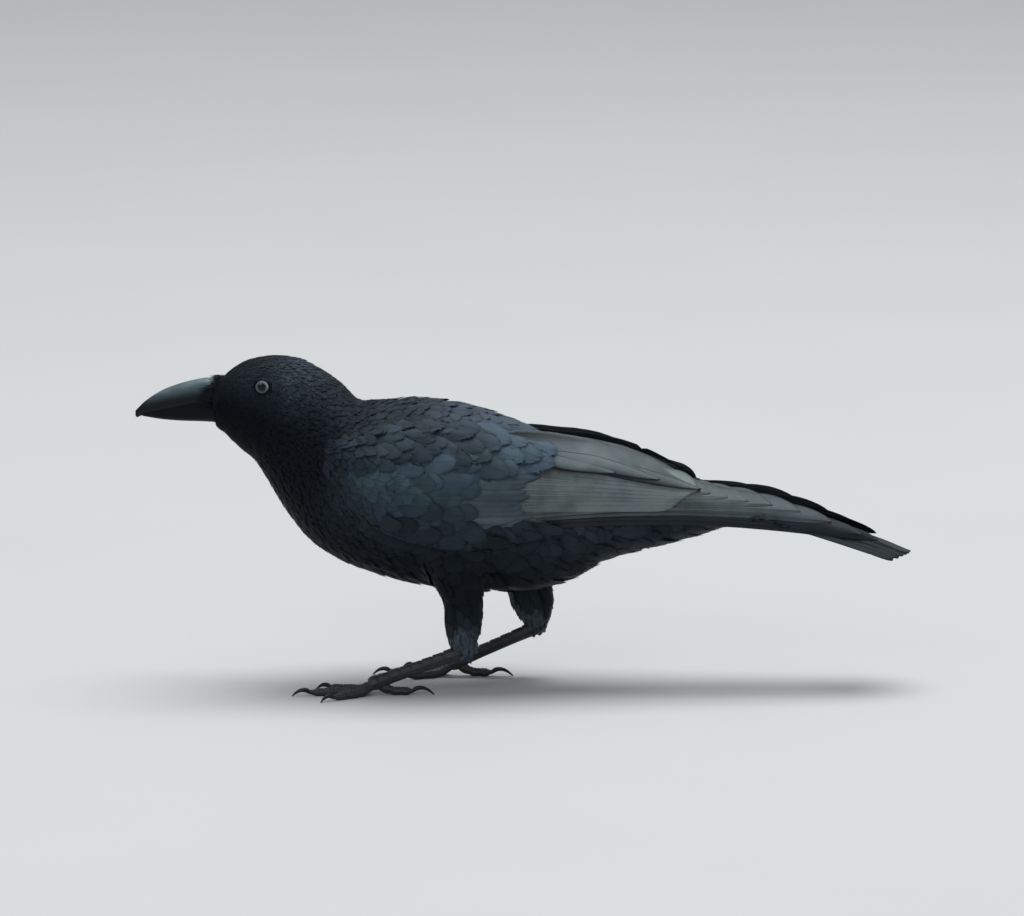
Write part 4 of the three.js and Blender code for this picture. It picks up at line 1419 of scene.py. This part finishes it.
def large_coverts(rng):
    """Primary coverts, the alula and greater coverts, each a little off its place in its row."""
    quills = []
    for _, up in shares(PRIMARY_COVERTS):
        tip = COVERTS_END + (36 - 24 * up + rng.normal(0, 1.5)) * MM
        quills.append(Quill(
            root=(COVERTS_END - 46 * MM, 0.08 + 0.17 * up),
            bend=(COVERTS_END - 12 * MM, 0.05 + 0.24 * up), tip=(tip, 0.07 + 0.26 * up),
            low=3.0, high=6.0, level=-1.1 + 1.0 * up, tip_length=0.25, point=0.4, tilt=0.3,
            shaft=0.3, tone=0.62 + 0.12 * rng.random(), sink=1.6,
        ))
    for _, up in shares(ALULA):
        quills.append(Quill(
            root=(COVERTS_END - 76 * MM, 0.10 + 0.08 * up),
            bend=(COVERTS_END - 50 * MM, 0.05 + 0.11 * up),
            tip=(COVERTS_END - (12 + 12 * up) * MM, 0.06 + 0.13 * up), low=3.4, high=6.5,
            level=-0.4 + 0.5 * up, tip_length=0.3, point=0.3, tilt=0.3, shaft=0.3, tone=0.55,
            sink=2.0,
        ))
    for _, up in shares(GREATER_COVERTS):
        off = rng.normal(0, 1, 3)
        tip = COVERTS_END + (10 + 16 * up + 2.2 * off[1]) * MM
        quills.append(Quill(
            root=(COVERTS_END - (56 - 6 * up) * MM, 0.30 + 0.46 * up),
            bend=(COVERTS_END - 18 * MM, 0.30 + 0.46 * up + 0.008 * off[0]),
            tip=(tip, 0.27 + 0.49 * up), low=6.0 + 0.4 * off[2], high=8.0,
            level=-0.3 + 0.8 * up, tip_length=0.34, point=0.0, tilt=0.45, shaft=0.3,
            # Painted shade darkens the lower edge and the root.
            tone=0.56 + 0.3 * rng.random(), sink=3.0, edge=-0.5, root_painted_shade=0.3,
        ))
    return quills


def wing_nodes(side):
    return [f"wing_{side}_{part}" for part in ("coverts", "secondaries", "primaries")]


def build_wings(material, covert_material, reliefs):
    for number, side in enumerate(SIDES):
        names = wing_nodes(side)
        rng = np.random.default_rng(300 + number)
        for part, quills, tone, finish, replaces in (
            ("primaries", primaries(side), 0.42, material, [names[2]]),
            ("secondaries", secondaries(side, rng), 0.77, material, [names[1]]),
            ("large_coverts", large_coverts(rng), 1.0, covert_material, []),
        ):
            group = quill_feathers(reliefs[side], quills, rng, tone)
            coat_piece(f"{part}_{side}", group, finish, replaces)


# ---------------------------------------------------------------- tail

TAIL_PAIRS = 6
TAIL_TONE = 0.26


def tail_feathers():
    """Pairs from the outer to the middle one, which lies on top."""
    quills = []
    for pair in range(TAIL_PAIRS - 1, -1, -1):
        share = (pair + 0.42) / TAIL_PAIRS
        inner, outer = 8.8 - 1.2 * share, 8.0 - 4.2 * share
        for sign in (-1, 1):
            tip = TAIL_TIP - (0.4 + 13 * share**2) * MM
            root, bend, end = (0.5 + 0.5 * sign * share * fan for fan in (0.7, 0.84, 0.9))
            quills.append(Quill(
                root=(TAIL_ROOT - 16 * MM, root), bend=((TAIL_ROOT + tip) / 2, bend),
                tip=(tip, end), low=outer if sign < 0 else inner,
                high=inner if sign < 0 else outer,
                level=-0.42 * pair - 1.9 * share**2 - (0.12 if sign > 0 else 0),
                tip_length=0.085, point=0.05, tilt=1.2 * sign * share, shaft=0.75,
                # Painted shade darkens the outer pairs, low at the tail's sides.
                tone=1.0 - 0.55 * smoothstep(share, 0.4, 0.7),
            ))
    return quills


def build_tail(material):
    group = quill_feathers(Relief(TAIL, 1, 2, 1), tail_feathers(), np.random.default_rng(400),
                           TAIL_TONE)
    coat_piece("tail_feathers", group, material, TAIL)


# ---------------------------------------------------------------- bill

BILL_STATIONS = 70
BILL_SIDES = 40
KEEL = 0.35 * MM  # how far the ridge of the bill stands up as a keel
HOOK = 3.2 * MM  # how far the upper tip hangs over the lower one
LIP = 0.35 * MM  # how far the upper half's edge stands out over the lower half
GAPE = 0.25 * MM  # how far the lower half sits below the meeting line
RIDGE_SHARE = 0.91  # the horn's height over the meeting line, as a share of the solid's
LOWER_WIDTH = 0.93
BILL_DARK = (0.0035, 0.0036, 0.004)


def bill_lines():
    """Places along the bill, with its ridge, meeting line, lower edge and half width there."""
    upper, lower = (node_tree([f"bill_{half}"]) for half in ("upper", "lower"))
    low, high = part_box("bill_upper")
    low_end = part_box("bill_lower")[0].x
    xs = low.x + 0.5 * MM + (high.x - low.x - 1 * MM) * np.linspace(0, 1, BILL_STATIONS) ** 1.3
    up, down, aside = Vector((0, 0, 1)), Vector((0, 0, -1)), Vector((0, 1, 0))
    rows = []
    for x in xs:
        ridge = upper.ray_cast(Vector((x, 0, 1)), down)[0].z
        meet = upper.ray_cast(Vector((x, 0, 0)), up)[0].z
        under = lower.ray_cast(Vector((max(x, low_end + 0.2 * MM), 0, 0)), up)[0].z
        wide = upper.ray_cast(Vector((x, -1, meet + 0.2 * MM)), aside)[0].y
        rows.append((ridge, meet, under, abs(wide)))
    weights = [1, 2, 3, 4, 3, 2, 1]
    return xs, low_end, [averaged(line, weights, mode="reflect", reflect_type="odd")
                         for line in np.array(rows).T]


def build_bill(upper_horn, lower_horn):
    xs, low_end, (ridge, meet, under, wide) = bill_lines()
    turn = np.linspace(0, 2 * math.pi, BILL_SIDES, endpoint=False)
    sine, cosine = np.sin(turn)[None], np.cos(turn)[None]
    on_ridge = turn - math.pi / 2
    ridge = meet + RIDGE_SHARE * (ridge - meet)
    for name, node, sign, outer, narrow, material in (
        ("bill_upper_horn", "bill_upper", 1, ridge, 1.0, upper_horn),
        ("bill_lower_horn", "bill_lower", -1, under, LOWER_WIDTH, lower_horn),
    ):
        upper = sign > 0
        keep = xs >= (xs[0] if upper else low_end)
        x, far, line, half = (v[keep][:, None] for v in (xs, outer, meet, wide * narrow))
        along = ((xs - xs[0]) / (xs[-1] - xs[0]))[keep][:, None]
        from_tip = x - x[0]
        point = 1.0 if upper else smoothstep(from_tip, -0.5 * MM, 3 * MM) ** 0.4
        covered = FACE_X + (-2 if upper else 4) * MM  # where the face starts to hide the horn
        within = smoothstep(x, covered, FACE_X + 10 * MM)
        tall = np.abs(far - line) * point * (1 - 0.4 * within)
        y = half * np.sign(cosine) * np.abs(cosine) ** 0.9 * point
        hook = 0.0
        if upper:
            hook = HOOK * np.exp(-from_tip / (7 * MM)) * smoothstep(from_tip, -1.2 * MM, 1.4 * MM)
        over = sine > 0
        out = np.where(over, np.abs(sine) ** 0.96 * tall, -(0.18 * tall + hook) * np.abs(sine))
        keel = KEEL * bump_at(on_ridge, 0, 0.22)[None] * smoothstep(along, 0.03, 0.3)
        groove = -0.22 * MM * bump_at(np.abs(y) / half, 0.86, 0.10) * over
        y = y + np.sign(y) * groove * smoothstep(along, 0.15, 0.5)
        lip = LIP * bump_at(sine, 0, 0.22) * smoothstep(along, 0.05, 0.2)
        z = line + sign * (out + keel) - (lip if upper else GAPE)
        rings = np.stack([np.broadcast_to(x, y.shape), y, z], -1)
        points, quads, caps = lofted(rings)
        # Painted highlight on the upper horn: a pale band down from the ridge, brightest on it
        # and dark at the tip; the lower horn has almost none.
        shine = bump_at(on_ridge, 0, 0.75)[None]
        middle = smoothstep(along, 0.04, 0.28) * (0.7 + 0.3 * smoothstep(along, 0.45, 0.85))
        band = smoothstep(sine, 0.30, 0.85) * (0.45 + 0.55 * shine)
        wear_and_highlight = 0.72 * band * middle if upper else np.full(y.shape, 0.02)
        mesh_piece(name, points, [quads, caps], material, [node],
                   values={"wear_and_highlight": grey(np.append(wear_and_highlight, [0, 0]))})


# ---------------------------------------------------------------- eyes

IRIS = 4.6 * MM
PUPIL = 2.3 * MM
EYEBALL = 0.985  # the eyeball's radius as a share of its solid's
CORNEA = 0.35 * MM  # how far the cornea stands out from the eyeball, and
CORNEA_EDGE = 47  # where it ends, in degrees from the eye's axis
BEADS = 30  # round a lid
BEAD = 0.07 * MM
SPOKES = 64
FRONT = 28  # points of the eyeball's profile that face out, up to 60 degrees from its axis
IRIS_RAMP = [  # from the pupil to the dark rim, as places out from the middle and colours
    (0.0, (0.002, 0.002, 0.003)),
    (PUPIL / IRIS - 0.03, (0.002, 0.002, 0.003)),
    (PUPIL / IRIS + 0.04, (0.05, 0.08, 0.11)),
    (0.68, (0.15, 0.22, 0.28)),
    (0.80, (0.30, 0.38, 0.44)),
    (0.89, (0.08, 0.11, 0.14)),
    (0.95, (0.003, 0.003, 0.004)),
]


def eye_frame(side):
    """The eye's centre, its axis out of the head, and two directions across it."""
    axis = np.array([0.0, SIDES[side], 0.05])
    axis = axis / np.linalg.norm(axis)
    up = np.array([0.12, 0, 1.0])
    up = up - (up @ axis) * axis
    up = up / np.linalg.norm(up)
    return np.array(EYES[side]) - EYE_SINK * axis, axis, up, np.cross(up, axis)


def ways_round(turn, up, aside):
    """Directions across an eye's axis, at angles round it."""
    return up * np.sin(turn)[:, None] + aside * np.cos(turn)[:, None]


def eye_material():
    """Dark pupil, pale blue-white iris with fine spokes, and a dark rim, under a wet cornea."""
    look = Look("eye")
    out, turn, painted_iris_light = look.stored("gaze")[1]
    ramp = look.node("ValToRGB")
    look.feed(out, ramp.inputs[0])
    elements = ramp.color_ramp.elements
    while len(elements) < len(IRIS_RAMP):
        elements.new(0.5)
    for element, (place, colour) in zip(elements, IRIS_RAMP):
        element.position = place
        element.color = (*colour, 1)
    spokes = look.maths("SINE", look.maths("MULTIPLY", turn, SPOKES))
    shade = look.scaled(look.noise(2500), 0.35, look.scaled(spokes, 0.10, 0.32))
    # Painted light makes the iris paler above and behind.
    shade = look.maths("MULTIPLY", look.maths("MULTIPLY", shade, painted_iris_light), 1.9)
    colour = look.node("CombineColor")
    for socket in colour.inputs[:3]:
        look.feed(shade, socket)
    colour = look.mixed(1.0, ramp.outputs[0], colour.outputs[0], "MULTIPLY")
    return look.finished(colour, 0.05, 0.25)


def eye_profile():
    """The eyeball from the middle of the cornea round to the back: distances from its axis, and
    out along it. It is fullest within the lids."""
    theta = np.radians(np.concatenate([np.linspace(0, 50, 26), np.linspace(55, 150, 20)]))
    bulge = CORNEA * np.clip(1 - (theta / np.radians(CORNEA_EDGE)) ** 2, 0, 1)
    fullness = EYEBALL - 0.15 * smoothstep(theta, np.radians(40), np.radians(65))
    radius = EYE_RADIUS * fullness + bulge
    return radius * np.sin(theta), radius * np.cos(theta)


def build_eyes():
    eye, lid = eye_material(), lid_material()
    turn = np.linspace(0, 2 * math.pi, 64, endpoint=False)
    for side in SIDES:
        centre, axis, up, aside = eye_frame(side)
        ring, out = eye_profile()
        around = ways_round(turn, up, aside)
        rings = centre + out[:, None, None] * axis + ring[:, None, None] * around
        points, quads, caps = lofted(rings[1:])
        points[-2] = centre + axis * out[0]
        # Painted light: the iris is paler above and behind.
        painted_iris_light = 0.34 + 0.66 * smoothstep(around @ unit(np.array([1.0, 0, 1.0])), -0.2, 1.0)
        gaze = np.stack(np.broadcast_arrays(
            np.minimum(ring[1:, None] / IRIS, 1.2), turn[None], painted_iris_light[None], 1.0), -1)
        gaze = np.concatenate([gaze.reshape(-1, 4), [[0, 0, 0, 1], [1.2, 0, 0, 1]]])
        mesh_piece(f"eyeball_{side}", points, [quads, caps], eye, [f"eye_{side}"],
                   values={"gaze": gaze})
        build_lid(side, lid)


def build_lid(side, material):
    """A rolled rim of bare beaded skin round the eye, and its fold into the face."""
    centre, axis, up, aside = eye_frame(side)
    turn = np.linspace(0, 2 * math.pi, 96, endpoint=False)
    around = ways_round(turn, up, aside)
    s = np.linspace(0, 1, 14)[:, None]
    above = np.clip(np.sin(turn)[None], 0, 1)
    inner = LID_IN - 0.30 * MM * above**2 + 0.25 * MM * np.cos(turn)[None] ** 4
    radius = inner + (LID_OUT - inner) * s
    beads = BEAD * np.sin(turn * BEADS)[None] * np.sin(math.pi * s)
    ball = np.sqrt(np.maximum((EYE_RADIUS * EYEBALL) ** 2 - inner**2, 0))
    start = ball - 0.6 * MM
    crest = ball + (0.55 + 0.25 * above) * MM
    rolled = start + (crest - start) * np.sin(np.minimum(s / 0.3, 1) * math.pi / 2)
    face = face_height(centre, axis, around)[None] - 0.7 * MM
    out = rolled + (face - crest) * smoothstep(s, 0.3, 1.0)
    ring, height = (line[:FRONT] for line in eye_profile())
    over_ball = np.interp(radius, ring, height) + 0.3 * MM
    out = np.where(s < 0.2, out, np.maximum(out, over_ball)) + beads
    rings = centre + out[..., None] * axis + radius[..., None] * around[None]
    points = rings.reshape(-1, 3)
    quads = tube_quads(np.arange(len(points)).reshape(rings.shape[:2]))
    if corner_normals(points, quads)[len(turn)] @ axis < 0:
        quads = quads[:, ::-1]
    mesh_piece(f"eyelid_{side}", points, [quads], material)


def face_height(centre, axis, around):
    """How far out along an eye's axis the face is at the lid's outer edge, round the eye."""
    outside = 20 * MM
    start = centre + outside * axis + LID_OUT * around
    way = Vector(-axis)
    return np.array([outside - whole.tree.ray_cast(Vector(p), way)[3] for p in start.tolist()])


# ---------------------------------------------------------------- bristles

BRISTLE_ROWS = 5
BRISTLE_GAP = 0.55 * MM
BRISTLE_BACK = 15 * MM  # how far behind the feather edge the last ones root
BRISTLE_WIDTHS = (0.12, 0.26)  # mm, on each side of the middle
BRISTLE_LIFTS = (0.25, 1.3)  # mm, how far they stand off the bill
BRISTLE_SINK = 0.5 * MM


def build_bristles(material):
    """Stiff narrow feathers that sweep forward over the base of the bill and its nostrils."""
    bill = Surface(*remeshed(["bill_upper", "bill_lower"], 0.6 * MM, 4, OVERLAP))
    rng = np.random.default_rng(130)
    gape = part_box("bill_lower")[1].z

    def height_at(p):
        return (p[:, 2] - gape) / (HEAD_TOP - gape)

    def keep(p):
        back = FACE_X + np.interp(height_at(p), [0.1, 0.45, 0.62], [15, 13, 9]) * MM
        return (p[:, 0] < back) & (p[:, 2] > gape - 6 * MM) & (p[:, 0] > FACE_X + 0.5 * MM)

    roots = scattered(whole, lambda p: np.full(len(p), BRISTLE_GAP), rng, keep)
    count = len(roots)
    at, up = whole.nearest(roots)
    height = height_at(at)
    length = np.interp(height, [-0.3, 0.0, 0.25, 0.45, 0.7], [6, 15, 13, 8, 4])
    length = length * rng.uniform(0.7, 1.1, count) * MM
    length = length * np.interp(at[:, 0], [FACE_X, FACE_X + BRISTLE_BACK], [1.0, 1.25])
    half = rng.uniform(*BRISTLE_WIDTHS, count) * MM
    way = np.array([-1.0, 0, 0]) + np.stack(
        [np.zeros(count), 0.25 * np.sign(at[:, 1]) * rng.random(count),
         rng.normal(-0.05, 0.14, count)], -1)
    way = unit(way - 0.7 * dot(way, up) * up)
    lift = rng.uniform(*BRISTLE_LIFTS, count) * np.interp(height, [0.3, 0.7], [1.0, 0.25]) * MM
    rows = []
    at = at - up * BRISTLE_SINK
    for i in range(BRISTLE_ROWS + 1):
        t = i / BRISTLE_ROWS
        aside = unit(np.cross(up, way)) * (half * (1 - t) ** 0.7)[:, None]
        rows += [at] if i == BRISTLE_ROWS else [at - aside, at + aside]
        step = at + way * (length / BRISTLE_ROWS)[:, None]
        near_bill, bill_up = bill.nearest(step)
        over = dot(step - near_bill, bill_up)
        wanted = (lift * (0.5 + 0.5 * t))[:, None] + 0.5 * MM * (1 - t)
        wanted = wanted - 1.2 * MM * smoothstep(bill_up[:, 2:], 0.3, 0.9)
        step = step + bill_up * (wanted - over) * (0.25 + 0.5 * t)
        way = unit(0.55 * way + 0.45 * unit(step - at))
        up = unit(up * 0.5 + bill_up * 0.5)
        at = step
    shade = 0.12 + 0.16 * rng.random((count, 1))
    coat_piece("bristles", ribbons(rows, roots, half, shade), material)


# ---------------------------------------------------------------- legs

LEG_VOXEL = 0.42 * MM
TOES = (1, 2, 3, 4)
CLAW_GROWTH = 0.12 * MM  # makes up for what rounding takes off
CLAW_WEAR = 0.12
SCUTES_ON_TARSUS = 9
SCUTE_PITCH = 2.3 * MM  # along a toe
SCUTE_SIZES = (0.34, 0.26)  # mm, on the tarsus and on a toe
PADS = 3  # under each toe
PAD_HEIGHT = 0.45 * MM
GRAIN_PITCH = 5200  # radians a metre
GRAIN = 0.07 * MM
POCKS = 0.006 * MM
CUFF = 6 * MM  # how far up a toe its claw's cuff starts
TUCK = 0.5 * MM  # how far the skin is drawn in round a claw's root, and between bones


def bone_axis(name):
    """The long axis of a node: its start, its unit direction and its length."""
    solid = node_solid([name])
    points = np.array([v.co[:] for v in solid.verts])
    solid.free()
    middle = points.mean(0)
    direction = np.linalg.svd(points - middle)[2][0]
    direction = direction * (1 if direction[0] < 0 else -1)
    reach = (points - middle) @ direction
    return middle + reach.min() * direction, direction, reach.max() - reach.min()


def scutes(name, points, normals, on_toe):
    """How far plates, the seam beside them and the pads move a bone's skin out, and its tone."""
    start, direction, length = bone_axis(name)
    along = (points - start) @ direction
    front = np.array([0.0 if on_toe else -0.35, 0, 1.0])
    front = front - (front @ direction) * direction
    facing = normals @ (front / np.linalg.norm(front))
    count = round(length / SCUTE_PITCH) if on_toe else SCUTES_ON_TARSUS
    phase = (along / length * count) % 1.0
    plate = smoothstep(facing, -0.35, 0.15)
    step = phase**1.6 - 1.5 * bump_at(phase, 0, 0.09) - 1.2 * bump_at(phase, 1, 0.05)
    seam = bump_at(facing, -0.25, 0.10)
    push = MM * (SCUTE_SIZES[on_toe] * step * plate - 0.16 * seam)
    if on_toe:
        joints = 0.5 - 0.5 * np.cos(2 * math.pi * along / length * PADS)
        push = push + PAD_HEIGHT * joints * smoothstep(-facing, -0.3, 0.5)
    # Paler towards each plate's end, darker at the joints and in the seam beside the plates.
    return push, np.clip(0.10 + 0.22 * plate * phase - 0.1 * seam, 0, 1)


def build_legs(material):
    """Tarsus and toes as one skin, with scutes along their tops, pads under the toes and a cuff
    round the root of each claw."""
    for side in SIDES:
        claws = [f"claw_{side}_{n}" for n in TOES]
        names = [f"tarsus_{side}"] + [f"toe_{side}_{n}" for n in TOES]
        points, quads = remeshed(names + claws, LEG_VOXEL, 7, 0.3 * MM)
        normals = corner_normals(points, quads)
        gaps = np.stack([node_distance([name], points) for name in names], -1)
        to_claw = node_distance(claws, points)
        owner = gaps.argmin(-1)
        push = np.zeros(len(points))
        wear_and_highlight = np.zeros(len(points))
        for number, name in enumerate(names):
            mine = owner == number
            push[mine], wear_and_highlight[mine] = scutes(name, points[mine], normals[mine], number > 0)
        rng = np.random.default_rng(140)
        cells = np.sin(points[:, 0] * GRAIN_PITCH) * np.sin(points[:, 1] * GRAIN_PITCH)
        under = smoothstep(-normals[:, 2], 0.1, 0.6)
        push += GRAIN * cells * under * (owner > 0)
        push += rng.normal(0, POCKS, len(points))
        push -= TUCK * (1 - smoothstep(to_claw, 0.5 * MM, CUFF))
        push -= TUCK * smoothstep(gaps.min(-1), 0.4 * MM, 1.6 * MM)
        points = points + normals * push[:, None]
        points[:, 2] = np.maximum(points[:, 2], 0.0)
        mesh_piece(f"leg_{side}", points, [quads], material, names,
                   values={"wear_and_highlight": grey(wear_and_highlight)})


def build_claws(material):
    for side in SIDES:
        for number in TOES:
            node = f"claw_{side}_{number}"
            points, quads = modified([node], CLAW_GROWTH, "SUBSURF", levels=2, render_levels=2)
            points[:, 2] = np.maximum(points[:, 2], 0.0)
            mesh_piece(f"claw_horn_{side}_{number}", points, [quads], material, [node],
                       values={"wear_and_highlight": grey(np.full(len(points), CLAW_WEAR))})


# ---------------------------------------------------------------- stage

FLOOR_HALF = 30.0
FRAME_WIDTH = 1.318 * LENGTH  # what the picture's width spans at the bird
AIM = Vector((-0.0148 * LENGTH, 0, 0.6875 * CAD_BOX[1][2]))
ELEVATION = math.radians(10)
DISTANCE = 5.0
SENSOR = 36  # mm


def placed(name, data, location, turn):
    thing = bpy.data.objects.new(name, data)
    thing.location = location
    thing.rotation_euler = turn
    bpy.context.scene.collection.objects.link(thing)
    return thing


def build_floor():
    floor = bpy.data.meshes.new("floor")
    corners = [(-1, -1), (1, -1), (1, 1), (-1, 1)]
    floor.from_pydata([(FLOOR_HALF * x, FLOOR_HALF * y, 0) for x, y in corners], [],
                      [(0, 1, 2, 3)])
    floor.materials.append(floor_material())
    ground = placed("floor", floor, (0, 0, 0), (0, 0, 0))


def build_camera():
    data = bpy.data.cameras.new("camera")
    data.sensor_width = SENSOR
    data.lens = SENSOR * DISTANCE / FRAME_WIDTH
    data.clip_end = 200
    back = Vector((0, -math.cos(ELEVATION), math.sin(ELEVATION)))
    bpy.context.scene.camera = placed("camera", data, AIM + back * DISTANCE,
                                      (math.pi / 2 - ELEVATION, 0, 0))


def area_light(name, location, size, power, colour):
    """A round light that faces the bird."""
    data = bpy.data.lights.new(name, "AREA")
    data.shape = "DISK"
    data.size = size
    data.energy = power
    data.color = colour
    toward = Vector((0, 0, 0.1)) - Vector(location)
    placed(name, data, location, toward.to_track_quat("-Z", "Y").to_euler())


def build_lights():
    world = bpy.data.worlds.new("studio")
    world.use_nodes = True
    sky = world.node_tree.nodes["Background"]
    sky.inputs["Color"].default_value = (0.90, 0.95, 1.0, 1)
    sky.inputs["Strength"].default_value = 0.45
    bpy.context.scene.world = world
    area_light("overhead", (0.5, 0.6, 5.0), 3.6, 270, (0.96, 0.99, 1.0))
    area_light("front", (-0.9, -2.2, 1.5), 1.2, 9, (0.95, 0.98, 1.0))
    bpy.context.scene.view_settings.view_transform = "Standard"


build_camera()
build_lights()
build_floor()
plumage = feather_material("contour_feathers", MANTLE_SHEEN, 0.52, 0.03, 0.10)
coverts = feather_material("covert_feathers", COVERTS_SHEEN, 0.46, 0.04, 0.14)
wing_bars = feather_material("greater_coverts", WING_BARS_SHEEN, 0.42, 0.05, 0.20)
build_skin()
body_coat(plumage)
wing_reliefs = {side: Relief(wing_nodes(side), 2, 1, sign) for side, sign in SIDES.items()}
wing_coat(plumage, coverts, wing_reliefs)
loose_barbs(plumage)
quill_vanes = feather_material("quills", QUILL_SHEEN, 0.38, 0.04, 0.25)
build_wings(quill_vanes, wing_bars, wing_reliefs)
build_tail(feather_material("tail_quills", QUILL_SHEEN, 0.52, 0.02, 0.10))
# The upper bill's pale horn colour is that of its painted highlight.
build_bill(horn_material("bill_upper_horn", BILL_DARK, (0.19, 0.27, 0.29), 0.36, 0.25),
           horn_material("bill_lower_horn", BILL_DARK, (0.10, 0.13, 0.14), 0.45, 0.08))
build_eyes()
build_bristles(plumage)
build_legs(scale_material())
build_claws(horn_material("claw_horn", (0.005, 0.005, 0.006), (0.05, 0.05, 0.05), 0.3, 0.35))
